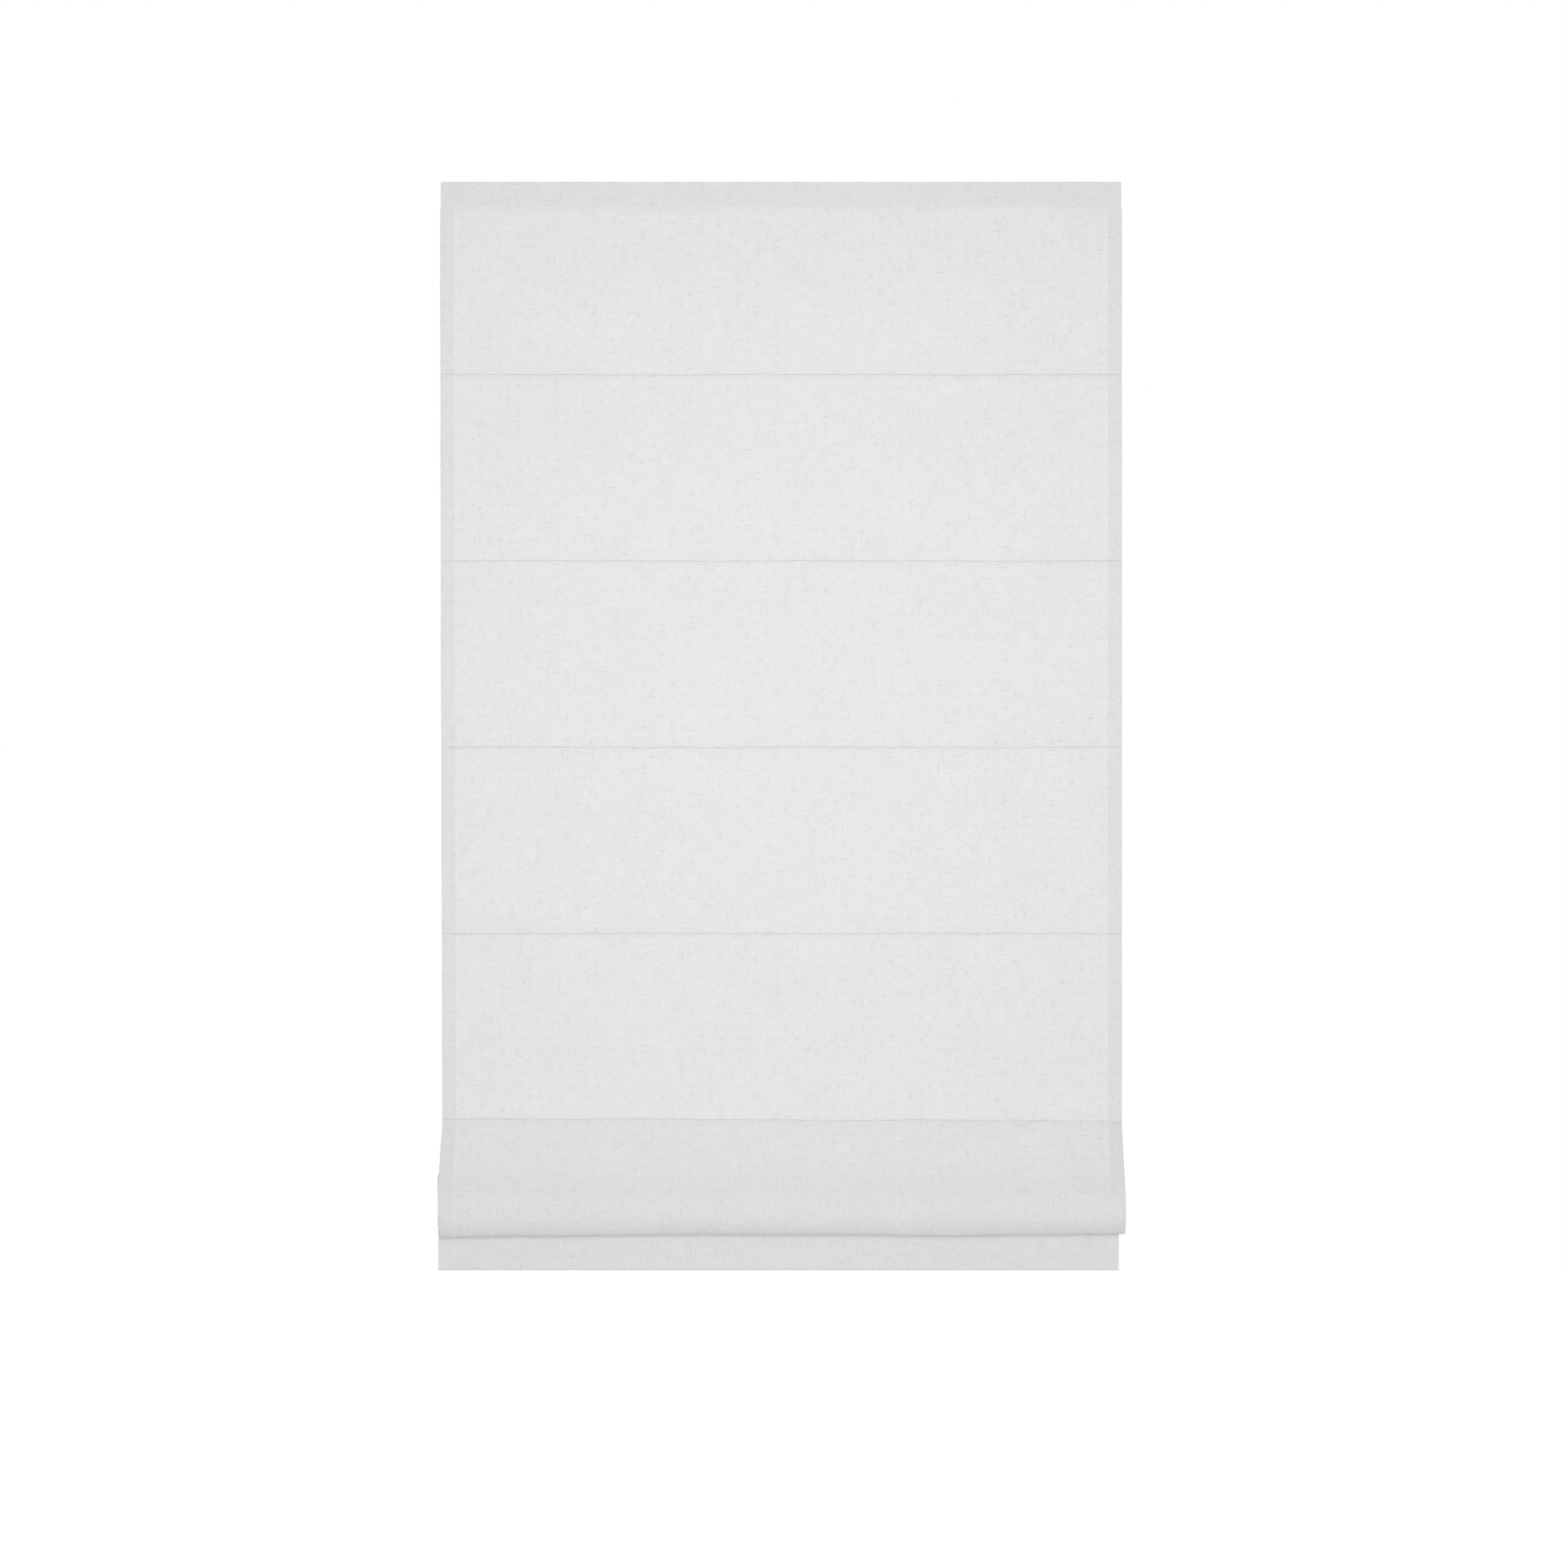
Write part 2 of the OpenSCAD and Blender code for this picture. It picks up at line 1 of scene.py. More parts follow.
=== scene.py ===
"""The looks of a roman blind: its cloth, cords, mechanism and hardware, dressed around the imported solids.

Lengths are metres in the frame of the solids: +Z is up, the room lies towards -Y and the wall is at y = 0.
A section of the cloth is drawn in depth and height, (y, z), and the cloth is that section drawn out along X.
"""

from __future__ import annotations

import logging
import math
from dataclasses import dataclass, field
from enum import Enum
from typing import Any, Iterator, Sequence

import bpy
import numpy as np
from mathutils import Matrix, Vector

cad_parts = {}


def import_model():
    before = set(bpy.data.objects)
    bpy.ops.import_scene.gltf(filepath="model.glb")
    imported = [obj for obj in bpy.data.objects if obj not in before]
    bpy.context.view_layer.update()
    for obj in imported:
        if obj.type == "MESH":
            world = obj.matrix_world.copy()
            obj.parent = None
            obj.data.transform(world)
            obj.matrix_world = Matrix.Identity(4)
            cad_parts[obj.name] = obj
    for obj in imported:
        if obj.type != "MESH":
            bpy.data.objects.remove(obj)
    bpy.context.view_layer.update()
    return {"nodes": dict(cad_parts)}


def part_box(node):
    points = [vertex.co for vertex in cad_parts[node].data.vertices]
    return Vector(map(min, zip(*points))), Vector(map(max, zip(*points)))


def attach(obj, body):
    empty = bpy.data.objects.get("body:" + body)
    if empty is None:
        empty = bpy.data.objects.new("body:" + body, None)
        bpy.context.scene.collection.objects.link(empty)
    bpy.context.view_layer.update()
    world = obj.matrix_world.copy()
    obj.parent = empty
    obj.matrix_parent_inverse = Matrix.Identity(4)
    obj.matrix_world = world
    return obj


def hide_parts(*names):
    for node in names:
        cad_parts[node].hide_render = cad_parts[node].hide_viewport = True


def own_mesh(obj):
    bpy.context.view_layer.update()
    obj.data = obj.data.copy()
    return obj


LOG = logging.getLogger("roman_blind")
MM = 0.001
CLOTH_UV = "cloth_uv"
LAYERED = "layered"
RODS = 6
CORD_SIDES = ("left", "right")
SHARP = math.radians(60)
SAME_POINT = 1e-7
NOISE_RANGE = (0.3, 0.7)

Material = bpy.types.Material
Object = bpy.types.Object
Socket = bpy.types.NodeSocket
Colour = tuple[float, float, float]


class Slot(str, Enum):
    """Material slots of the record for the new pieces; nothing in this script uses them."""

    SPRING_STEEL = "spring_steel"
    CLOTH = "cloth"
    CORD = "cord"


class Zone(Enum):
    """Stretches of the cloth's section, from the top edge to the bottom hem."""

    BAND = "band"
    DROP = "drop"
    TUCK = "tuck"
    PLEAT = "pleat"
    FOLD = "fold"
    TAIL = "tail"


class Side(Enum):
    """The two side edges of the blind, as seen from the room."""

    LEFT = -1
    RIGHT = 1


def grey(level: float) -> tuple[float, float, float, float]:
    """Returns a neutral colour of the given level."""
    return (level, level, level, 1.0)


# Shading


class NodeTree:
    """A tree of nodes, with short ways to add and join them."""

    def __init__(self, tree: bpy.types.NodeTree) -> None:
        """Takes the tree that the nodes go into."""
        self.tree = tree

    def feed(self, socket: Socket, value: Any) -> None:
        """Links a value to a socket, or sets it there.

        Args:
            socket: The input that takes the value.
            value: A socket to link from, or a plain value.
        """
        if isinstance(value, Socket):
            self.tree.links.new(value, socket)
        else:
            socket.default_value = value

    def node(self, kind: str, inputs: dict[Any, Any] | None = None, **settings: Any) -> bpy.types.Node:
        """Adds a node.

        Args:
            kind: The node's type.
            inputs: Values or sockets by the name or number of the input.
            **settings: The node's own properties.

        Returns:
            The new node.
        """
        made = self.tree.nodes.new(kind)
        for name, value in settings.items():
            setattr(made, name, value)
        for key, value in (inputs or {}).items():
            self.feed(made.inputs[key], value)
        return made


class Shading(NodeTree):
    """A material's nodes."""

    def __init__(self, name: str) -> None:
        """Starts an empty material.

        Args:
            name: Name of the material.
        """
        self.material: Material = bpy.data.materials.new(name)
        self.material.use_nodes = True
        super().__init__(self.material.node_tree)
        self.tree.nodes.clear()

    def math(self, operation: str, *values: Any) -> Socket:
        """Returns the result of a Math node on the values."""
        return self.node("ShaderNodeMath", dict(enumerate(values)), operation=operation).outputs[0]

    def total(self, *values: Any) -> Socket:
        """Adds values up.

        Args:
            *values: Two or more sockets or numbers.

        Returns:
            Their sum.
        """
        result = values[0]
        for value in values[1:]:
            result = self.math("ADD", result, value)
        return result

    def object_coords(self, waves: float | Sequence[float]) -> Socket:
        """Scales Object coordinates.

        Args:
            waves: Waves a metre, alike on all axes or given for each.

        Returns:
            The scaled coordinates.
        """
        coords = self.node("ShaderNodeTexCoord").outputs["Object"]
        scale = (waves,) * 3 if isinstance(waves, float) else waves
        return self.node("ShaderNodeMapping", {"Vector": coords, "Scale": scale}).outputs[0]

    def uv_coords(self, scale: Sequence[float]) -> Socket:
        """Returns the piece's own UV map, scaled on each axis."""
        coords = self.node("ShaderNodeUVMap", uv_map=CLOTH_UV).outputs[0]
        return self.node("ShaderNodeMapping", {"Vector": coords, "Scale": scale}).outputs[0]

    def noise(self, vector: Socket, detail: float = 2.0, roughness: float = 0.5) -> Socket:
        """Returns noise of about one wave for each unit of the vector."""
        inputs = {"Vector": vector, "Scale": 1.0, "Detail": detail, "Roughness": roughness}
        return self.node("ShaderNodeTexNoise", inputs).outputs[0]

    def span(self, value: Socket, low: float, high: float, to_low: float = 0.0,
             to_high: float = 1.0) -> Socket:
        """Returns value carried from one range to another, held at its ends."""
        inputs = {"Value": value, "From Min": low, "From Max": high, "To Min": to_low, "To Max": to_high}
        return self.node("ShaderNodeMapRange", inputs, clamp=True).outputs[0]

    def between(self, share: Socket, first: Sequence[float], second: Sequence[float]) -> Socket:
        """Mixes two colours.

        Args:
            share: 0 for the first colour, up to 1 for the second.
            first: One colour.
            second: The other colour.

        Returns:
            The mixed colour.
        """
        made = self.node("ShaderNodeMix", data_type="RGBA")
        self.feed(made.inputs[0], share)
        self.feed(made.inputs[6], first)
        self.feed(made.inputs[7], second)
        return made.outputs[2]

    def mottled(self, share: Socket, level: float, tones: tuple[float, float]) -> Socket:
        """Returns a grey about a level, from one tone beside it to the other."""
        return self.between(share, grey(level + tones[0]), grey(level + tones[1]))

    def shaded(self, share: Socket, colour: Colour, dark: float) -> Socket:
        """Returns a colour that varies from a darker share of itself to itself."""
        darker = tuple(c * dark for c in colour)
        return self.between(share, (*darker, 1.0), (*colour, 1.0))

    def bump(self, height: Socket, depth: float, strength: float = 1.0) -> Socket:
        """Returns a normal that the height, 0 to 1, raises by depth metres."""
        inputs = {"Height": height, "Distance": depth, "Strength": strength}
        return self.node("ShaderNodeBump", inputs).outputs[0]

    def principled(self, inputs: dict[str, Any]) -> Socket:
        """Returns a Principled shader with these inputs."""
        return self.node("ShaderNodeBsdfPrincipled", inputs).outputs[0]

    def done(self, shader: Socket) -> Material:
        """Joins the shader to the output and returns the material."""
        self.node("ShaderNodeOutputMaterial", {"Surface": shader})
        return self.material


# Finishes


@dataclass(frozen=True)
class Finish:
    """A surface finish, made into one material when it is first asked for."""

    name: str

    def material(self) -> Material:
        """Returns the finish's material."""
        return bpy.data.materials.get(self.name) or self.build()

    def build(self) -> Material:
        """Makes the material."""
        raise NotImplementedError


@dataclass(frozen=True)
class Linen(Finish):
    """Semi-sheer plain weave with uneven yarn, on a UV map in metres of flat cloth."""

    white: float = 0.955
    through: float = 0.02
    open_share: float = 0.14
    warp_pitch: float = 0.85 * MM
    weft_pitch: float = 0.95 * MM
    warp_streak: tuple[float, float] = (1.3 * MM, 45 * MM)
    weft_streak: tuple[float, float] = (38 * MM, 1.3 * MM)
    weft_slub: tuple[float, float] = (14 * MM, 1.0 * MM)
    warp_slub: tuple[float, float] = (1.0 * MM, 17 * MM)
    fleck: float = 1.3 * MM
    cloud: float = 90 * MM
    moire_pitch: float = 3.1 * MM
    moire_drift: tuple[float, float] = (26 * MM, 60 * MM)
    moire_patch: tuple[float, float] = (16 * MM, 14 * MM)
    moire_turn: float = 22.0
    moire_range: tuple[float, float] = (0.40, 0.66)
    weft_slub_range: tuple[float, float] = (0.60, 0.80)
    warp_slub_range: tuple[float, float] = (0.62, 0.82)
    fleck_range: tuple[float, float] = (0.80, 0.86)
    fleck_share: float = 0.8
    streak_tone: float = 0.020
    beat_tone: float = 0.10
    slub_tone: float = -0.36
    cloud_tone: float = 0.006
    streak_gap: float = 0.25
    slub_gap: float = -0.8
    relief: float = 0.12 * MM
    relief_strength: float = 0.6

    def yarn(self, shade: Shading, size: tuple[float, float], detail: float = 1.5) -> Socket:
        """Returns noise whose grains are as wide and long as size."""
        return shade.noise(shade.uv_coords((1 / size[0], 1 / size[1], 1.0)), detail)

    def weave(self, shade: Shading) -> Socket:
        """Makes the relief of the crossing threads.

        Args:
            shade: The cloth's nodes.

        Returns:
            Its height, 0 to 1.
        """
        coords = shade.node("ShaderNodeUVMap", uv_map=CLOTH_UV).outputs[0]
        parts = shade.node("ShaderNodeSeparateXYZ", {0: coords}).outputs
        turns = (math.pi / self.warp_pitch, math.pi / self.weft_pitch)
        waves = [shade.math("SINE", shade.math("MULTIPLY", part, turn)) for part, turn in zip(parts, turns)]
        crossing = shade.math("MULTIPLY", waves[0], waves[1])
        return shade.span(crossing, -1.0, 1.0)

    def slubs(self, shade: Shading) -> Socket:
        """Makes the thick places of the yarn and its flecks.

        Args:
            shade: The cloth's nodes.

        Returns:
            How much of them is at a place, 0 to 1.
        """
        weft = shade.span(self.yarn(shade, self.weft_slub), *self.weft_slub_range)
        warp = shade.span(self.yarn(shade, self.warp_slub), *self.warp_slub_range)
        specks = self.yarn(shade, (self.fleck, self.fleck), 0.0)
        flecks = shade.span(specks, *self.fleck_range, 0.0, self.fleck_share)
        return shade.math("MAXIMUM", shade.math("MAXIMUM", weft, warp), flecks)

    def beat(self, shade: Shading) -> Socket:
        """Makes the beat between the threads of doubled cloth.

        Args:
            shade: The cloth's nodes.

        Returns:
            Its wave, -1 to 1.
        """
        layered = shade.node("ShaderNodeAttribute", attribute_name=LAYERED).outputs["Fac"]
        coords = shade.node("ShaderNodeUVMap", uv_map=CLOTH_UV).outputs[0]
        across = shade.node("ShaderNodeSeparateXYZ", {0: coords}).outputs[0]
        drift = shade.math("MULTIPLY", self.yarn(shade, self.moire_drift), self.moire_turn)
        phase = shade.math("MULTIPLY_ADD", across, 2 * math.pi / self.moire_pitch, drift)
        patches = shade.span(self.yarn(shade, self.moire_patch), *self.moire_range)
        return shade.math("MULTIPLY", shade.math("MULTIPLY", shade.math("SINE", phase), patches), layered)

    def build(self) -> Material:
        """Makes the cloth: uneven tone, open weave and light coming through from behind.

        Returns:
            The cloth's material.
        """
        shade = Shading(self.name)
        sizes = (self.warp_streak, self.weft_streak, (self.cloud, self.cloud))
        warp, weft, cloud = (shade.span(self.yarn(shade, size), *NOISE_RANGE, -1.0, 1.0) for size in sizes)
        slubs = self.slubs(shade)
        tone = shade.total(
            1.0,
            shade.math("MULTIPLY", warp, self.streak_tone),
            shade.math("MULTIPLY", weft, self.streak_tone),
            shade.math("MULTIPLY", self.beat(shade), self.beat_tone),
            shade.math("MULTIPLY", slubs, self.slub_tone),
            shade.math("MULTIPLY", cloud, self.cloud_tone),
        )
        level = shade.math("MULTIPLY", tone, self.white)
        colour = shade.node("ShaderNodeCombineColor", {0: level, 1: level, 2: level}).outputs[0]
        normal = shade.bump(self.weave(shade), self.relief, self.relief_strength)
        face = shade.principled({
            "Base Color": colour, "Roughness": 0.92, "Specular IOR Level": 0.15, "Sheen Weight": 0.08,
            "Sheen Roughness": 0.6, "Normal": normal,
        })
        lit_through = shade.node("ShaderNodeBsdfTranslucent", {"Color": colour, "Normal": normal}).outputs[0]
        body = shade.node("ShaderNodeMixShader", {0: self.through, 1: face, 2: lit_through}).outputs[0]
        spread = shade.total(
            1.0, shade.math("MULTIPLY", warp, self.streak_gap), shade.math("MULTIPLY", slubs, self.slub_gap))
        gaps = shade.math("MULTIPLY", spread, self.open_share)
        clear = shade.node("ShaderNodeBsdfTransparent").outputs[0]
        return shade.done(shade.node("ShaderNodeMixShader", {0: gaps, 1: body, 2: clear}).outputs[0])


@dataclass(frozen=True)
class PowderCoat(Finish):
    """Painted metal with a faint orange peel."""

    level: float = 0.86
    roughness: float = 0.42
    peel_waves: float = 700.0
    peel_depth: float = 0.03 * MM
    patch_waves: tuple[float, float, float] = (9.0, 30.0, 30.0)
    tones: tuple[float, float] = (-0.02, 0.015)

    def build(self) -> Material:
        """Makes the paint.

        Returns:
            The paint's material.
        """
        shade = Shading(self.name)
        peel = shade.noise(shade.object_coords(self.peel_waves), 3.0)
        patch = shade.noise(shade.object_coords(self.patch_waves), 3.0)
        colour = shade.mottled(patch, self.level, self.tones)
        roughness = shade.span(peel, *NOISE_RANGE, self.roughness - 0.05, self.roughness + 0.07)
        normal = shade.bump(peel, self.peel_depth, 0.5)
        return shade.done(shade.principled({
            "Base Color": colour, "Roughness": roughness, "Coat Weight": 0.15, "Normal": normal,
        }))


@dataclass(frozen=True)
class Moulded(Finish):
    """Moulded plastic with a fine spark-eroded grain."""

    colour: Colour = (0.84, 0.84, 0.825)
    roughness: float = 0.45
    grain: float = 0.02 * MM
    grain_waves: float = 1500.0
    flow_waves: float = 60.0
    dark: float = 0.965

    def build(self) -> Material:
        """Makes the plastic.

        Returns:
            The plastic's material.
        """
        shade = Shading(self.name)
        grain = shade.noise(shade.object_coords(self.grain_waves), 2.0)
        flow = shade.noise(shade.object_coords(self.flow_waves), 3.0)
        colour = shade.shaded(flow, self.colour, self.dark)
        roughness = shade.span(flow, *NOISE_RANGE, self.roughness - 0.06, self.roughness + 0.06)
        normal = shade.bump(grain, self.grain, 0.5)
        return shade.done(shade.principled({
            "Base Color": colour, "Roughness": roughness, "Normal": normal, "Subsurface Weight": 0.04,
        }))


@dataclass(frozen=True)
class Drawn(Finish):
    """Metal with lines drawn or brushed along X."""

    colour: Colour = (0.62, 0.63, 0.64)
    roughness: float = 0.34
    line: float = 0.35 * MM
    line_waves: float = 12.0
    line_depth: float = 0.02 * MM
    smudge_waves: tuple[float, float, float] = (25.0, 60.0, 60.0)
    dark: float = 0.86

    def build(self) -> Material:
        """Makes the metal.

        Returns:
            The metal's material.
        """
        shade = Shading(self.name)
        lines = shade.noise(shade.object_coords((self.line_waves, 1 / self.line, 1 / self.line)), 3.0, 0.6)
        smudge = shade.noise(shade.object_coords(self.smudge_waves), 4.0)
        colour = shade.shaded(lines, self.colour, self.dark)
        roughness = shade.total(
            shade.span(smudge, *NOISE_RANGE, -0.08, 0.10), shade.span(lines, *NOISE_RANGE, 0.0, 0.08),
            self.roughness)
        normal = shade.bump(lines, self.line_depth, 0.4)
        return shade.done(shade.principled({
            "Base Color": colour, "Metallic": 1.0, "Roughness": roughness, "Normal": normal,
        }))


@dataclass(frozen=True)
class Pultruded(Finish):
    """Resin rod with glass fibres along X."""

    level: float = 0.78
    tones: tuple[float, float] = (-0.10, 0.05)
    fibre_waves: tuple[float, float, float] = (18.0, 2600.0, 2600.0)
    fibre_depth: float = 0.03 * MM
    polish: tuple[float, float] = (0.28, 0.44)

    def build(self) -> Material:
        """Makes the rod's surface.

        Returns:
            The rod's material.
        """
        shade = Shading(self.name)
        fibres = shade.noise(shade.object_coords(self.fibre_waves), 3.0, 0.65)
        colour = shade.mottled(fibres, self.level, self.tones)
        roughness = shade.span(fibres, *NOISE_RANGE, *self.polish)
        normal = shade.bump(fibres, self.fibre_depth, 0.5)
        return shade.done(shade.principled({"Base Color": colour, "Roughness": roughness, "Normal": normal}))


@dataclass(frozen=True)
class Pile(Finish):
    """Hook and loop tape: a dense pile of tiny loops on a woven ground."""

    level: float = 0.80
    loop: float = 0.9 * MM
    loop_depth: float = 0.35 * MM
    fuzz_waves: float = 900.0
    fuzz_share: float = 0.3
    tones: tuple[float, float] = (-0.14, 0.04)

    def build(self) -> Material:
        """Makes the tape's face.

        Returns:
            The tape's material.
        """
        shade = Shading(self.name)
        places = {"Vector": shade.object_coords(1 / self.loop), "Scale": 1.0, "Randomness": 0.7}
        cells = shade.node("ShaderNodeTexVoronoi", places).outputs["Distance"]
        fuzz = shade.noise(shade.object_coords(self.fuzz_waves), 4.0)
        loops = shade.span(cells, 0.0, 0.8, 0.7, 0.0)
        height = shade.total(loops, shade.math("MULTIPLY", fuzz, self.fuzz_share))
        # The colour is darker where the loops dip: painted shade between the loops, with the fuzz as random
        # tone.
        colour = shade.mottled(height, self.level, self.tones)
        normal = shade.bump(height, self.loop_depth, 0.7)
        return shade.done(shade.principled({
            "Base Color": colour, "Roughness": 0.85, "Sheen Weight": 0.2, "Normal": normal,
        }))


@dataclass(frozen=True)
class Braid(Finish):
    """Braided or twisted yarn, on a UV map that runs round the yarn (x) and along it (y), in turns."""

    level: float = 0.84
    strands: float = 4.0
    strand_share: float = 0.8
    strand_depth: float = 0.2 * MM
    fuzz_share: float = 0.2
    fuzz_waves: float = 2500.0
    tones: tuple[float, float] = (-0.22, 0.04)

    def build(self) -> Material:
        """Makes the yarn.

        Returns:
            The yarn's material.
        """
        shade = Shading(self.name)
        parts = shade.node("ShaderNodeSeparateXYZ", {0: shade.uv_coords((1.0, 1.0, 1.0))}).outputs
        around = shade.math("MULTIPLY", parts[0], 2 * math.pi * self.strands)
        along = shade.math("MULTIPLY", parts[1], 2 * math.pi)
        one_way = shade.math("SINE", shade.math("ADD", around, along))
        other_way = shade.math("SINE", shade.math("SUBTRACT", around, along))
        height = shade.span(shade.math("MAXIMUM", one_way, other_way), -1.0, 1.0)
        fuzz = shade.noise(shade.object_coords(self.fuzz_waves), 3.0)
        ridge = shade.total(
            shade.math("MULTIPLY", height, self.strand_share), shade.math("MULTIPLY", fuzz, self.fuzz_share))
        # The colour is darker down between the strands: painted shade in the grooves, with the fuzz as random
        # tone.
        colour = shade.mottled(ridge, self.level, self.tones)
        normal = shade.bump(ridge, self.strand_depth, 0.8)
        return shade.done(shade.principled({
            "Base Color": colour, "Roughness": 0.75, "Sheen Weight": 0.15, "Normal": normal,
        }))


@dataclass(frozen=True)
class Thread(Finish):
    """Sewing thread, too thin for a pattern of its own beyond its twist."""

    level: float = 0.88
    tones: tuple[float, float] = (-0.12, 0.03)
    twist_waves: float = 3000.0
    twist_depth: float = 0.05 * MM

    def build(self) -> Material:
        """Makes the thread.

        Returns:
            The thread's material.
        """
        shade = Shading(self.name)
        twist = shade.noise(shade.object_coords(self.twist_waves), 2.0)
        colour = shade.mottled(twist, self.level, self.tones)
        normal = shade.bump(twist, self.twist_depth, 0.6)
        return shade.done(shade.principled({
            "Base Color": colour, "Roughness": 0.6, "Sheen Weight": 0.1, "Normal": normal,
        }))


LINEN = Linen("linen_weave")
RAIL_PAINT = PowderCoat("rail_powder_coat")
CAP_PLASTIC = Moulded("moulded_white_plastic")
MECHANISM_PLASTIC = Moulded("mechanism_nylon", (0.80, 0.80, 0.785), 0.38, 0.015 * MM)
RING_PLASTIC = Moulded("ring_acetal", (0.87, 0.87, 0.86), 0.22, 0.006 * MM)
BRACKET_STEEL = Drawn("bracket_zinc_steel", (0.70, 0.71, 0.72), 0.36, 0.5 * MM)
SPRING_STEEL = Drawn("spring_wire_steel", (0.46, 0.47, 0.49), 0.30, 0.25 * MM)
SHAFT_STEEL = Drawn("shaft_bright_steel", (0.66, 0.67, 0.68), 0.28, 0.3 * MM)
BAR_METAL = Drawn("bar_mill_aluminium", (0.78, 0.79, 0.80), 0.40, 0.6 * MM)
ROD_RESIN = Pultruded("rod_fibre_resin")
TAPE_PILE = Pile("tape_pile")
CORD_BRAID = Braid("lift_cord_braid", 0.62)
SEWING_THREAD = Thread("sewing_thread")


# Meshes


@dataclass
class Shell:
    """Vertices, faces, UVs and layer values of a closed thin sheet, gathered from grids of points."""

    points: list[np.ndarray] = field(default_factory=list)
    faces: list[np.ndarray] = field(default_factory=list)
    flats: list[np.ndarray] = field(default_factory=list)
    layers: list[np.ndarray] = field(default_factory=list)
    count: int = 0

    def add(self, face: np.ndarray, back: np.ndarray, flat: np.ndarray, layered: np.ndarray) -> None:
        """Adds a sheet between two grids of the same rows and columns.

        Args:
            face: Points of the side that the rows and columns turn towards, as rows by columns by 3.
            back: Points of the other side.
            flat: Flat position of each grid point, as rows by columns by 2.
            layered: 0 to 1 at each grid point, for how much lies doubled there.
        """
        rows, columns = face.shape[:2]
        front = self.count + np.arange(rows * columns).reshape(rows, columns)
        rear = front + rows * columns
        self.faces += [
            self.quads(front[:-1, :-1], front[1:, :-1], front[1:, 1:], front[:-1, 1:]),
            self.quads(rear[:-1, :-1], rear[:-1, 1:], rear[1:, 1:], rear[1:, :-1]),
            self.quads(front[0, :-1], front[0, 1:], rear[0, 1:], rear[0, :-1]),
            self.quads(front[-1, 1:], front[-1, :-1], rear[-1, :-1], rear[-1, 1:]),
            self.quads(front[:-1, 0], rear[:-1, 0], rear[1:, 0], front[1:, 0]),
            self.quads(front[:-1, -1], front[1:, -1], rear[1:, -1], rear[:-1, -1]),
        ]
        self.points += [face.reshape(-1, 3), back.reshape(-1, 3)]
        self.flats += [flat.reshape(-1, 2)] * 2
        self.layers += [layered.reshape(-1)] * 2
        self.count += 2 * rows * columns

    @staticmethod
    def quads(*corners: np.ndarray) -> np.ndarray:
        """Returns four-cornered faces from four like arrays of vertex numbers."""
        return np.stack([c.reshape(-1) for c in corners], axis=1)

    def mesh_object(self, name: str, material: Material) -> Object:
        """Makes one mesh object of the gathered sheets.

        Args:
            name: Name of the piece.
            material: What it is made of.

        Returns:
            The piece.
        """
        made = mesh_object(name, np.concatenate(self.points), np.concatenate(self.faces).tolist(), material)
        set_uv(made.data, np.concatenate(self.flats))
        layer = made.data.attributes.new(LAYERED, "FLOAT", "POINT")
        layer.data.foreach_set("value", np.concatenate(self.layers).astype(np.float32))
        made.data.set_sharp_from_angle(angle=SHARP)
        return made


def mesh_object(name: str, points: np.ndarray, faces: Sequence[Sequence[int]], material: Material | None,
                edges: Sequence[Sequence[int]] = ()) -> Object:
    """Makes a mesh object at the origin.

    Args:
        name: Name of the object and its mesh.
        points: Vertices, as n by 3.
        faces: Vertex numbers of each face.
        material: What the faces are made of.
        edges: Vertex numbers of loose edges.

    Returns:
        The new object, linked to the scene.
    """
    mesh = bpy.data.meshes.new(name)
    mesh.from_pydata(points.tolist(), list(edges), faces)
    mesh.polygons.foreach_set("use_smooth", [True] * len(mesh.polygons))
    if material:
        mesh.materials.append(material)
    mesh.update()
    made = bpy.data.objects.new(name, mesh)
    bpy.context.scene.collection.objects.link(made)
    return made


def middle(node: str) -> tuple[float, ...]:
    """Returns the middle of a node's box."""
    return tuple((low + high) / 2 for low, high in zip(*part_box(node)))


def run_lengths(points: np.ndarray) -> np.ndarray:
    """Returns the length of a path from its start to each of its points."""
    return np.concatenate([[0.0], np.cumsum(np.linalg.norm(np.diff(points, axis=0), axis=1))])


def unit_normals(points: np.ndarray) -> np.ndarray:
    """Returns the unit normals of a grid of points, as rows by columns by 3."""
    normals = np.cross(np.gradient(points, axis=0), np.gradient(points, axis=1))
    return normals / np.linalg.norm(normals, axis=2, keepdims=True)


def set_uv(mesh: bpy.types.Mesh, flats: np.ndarray) -> None:
    """Gives a mesh its UV map.

    Args:
        mesh: The mesh.
        flats: Flat position of each vertex, as n by 2.
    """
    corners = np.zeros(len(mesh.loops), np.int64)
    mesh.loops.foreach_get("vertex_index", corners)
    layer = mesh.uv_layers.new(name=CLOTH_UV)
    layer.data.foreach_set("uv", flats[corners].astype(np.float32).reshape(-1))


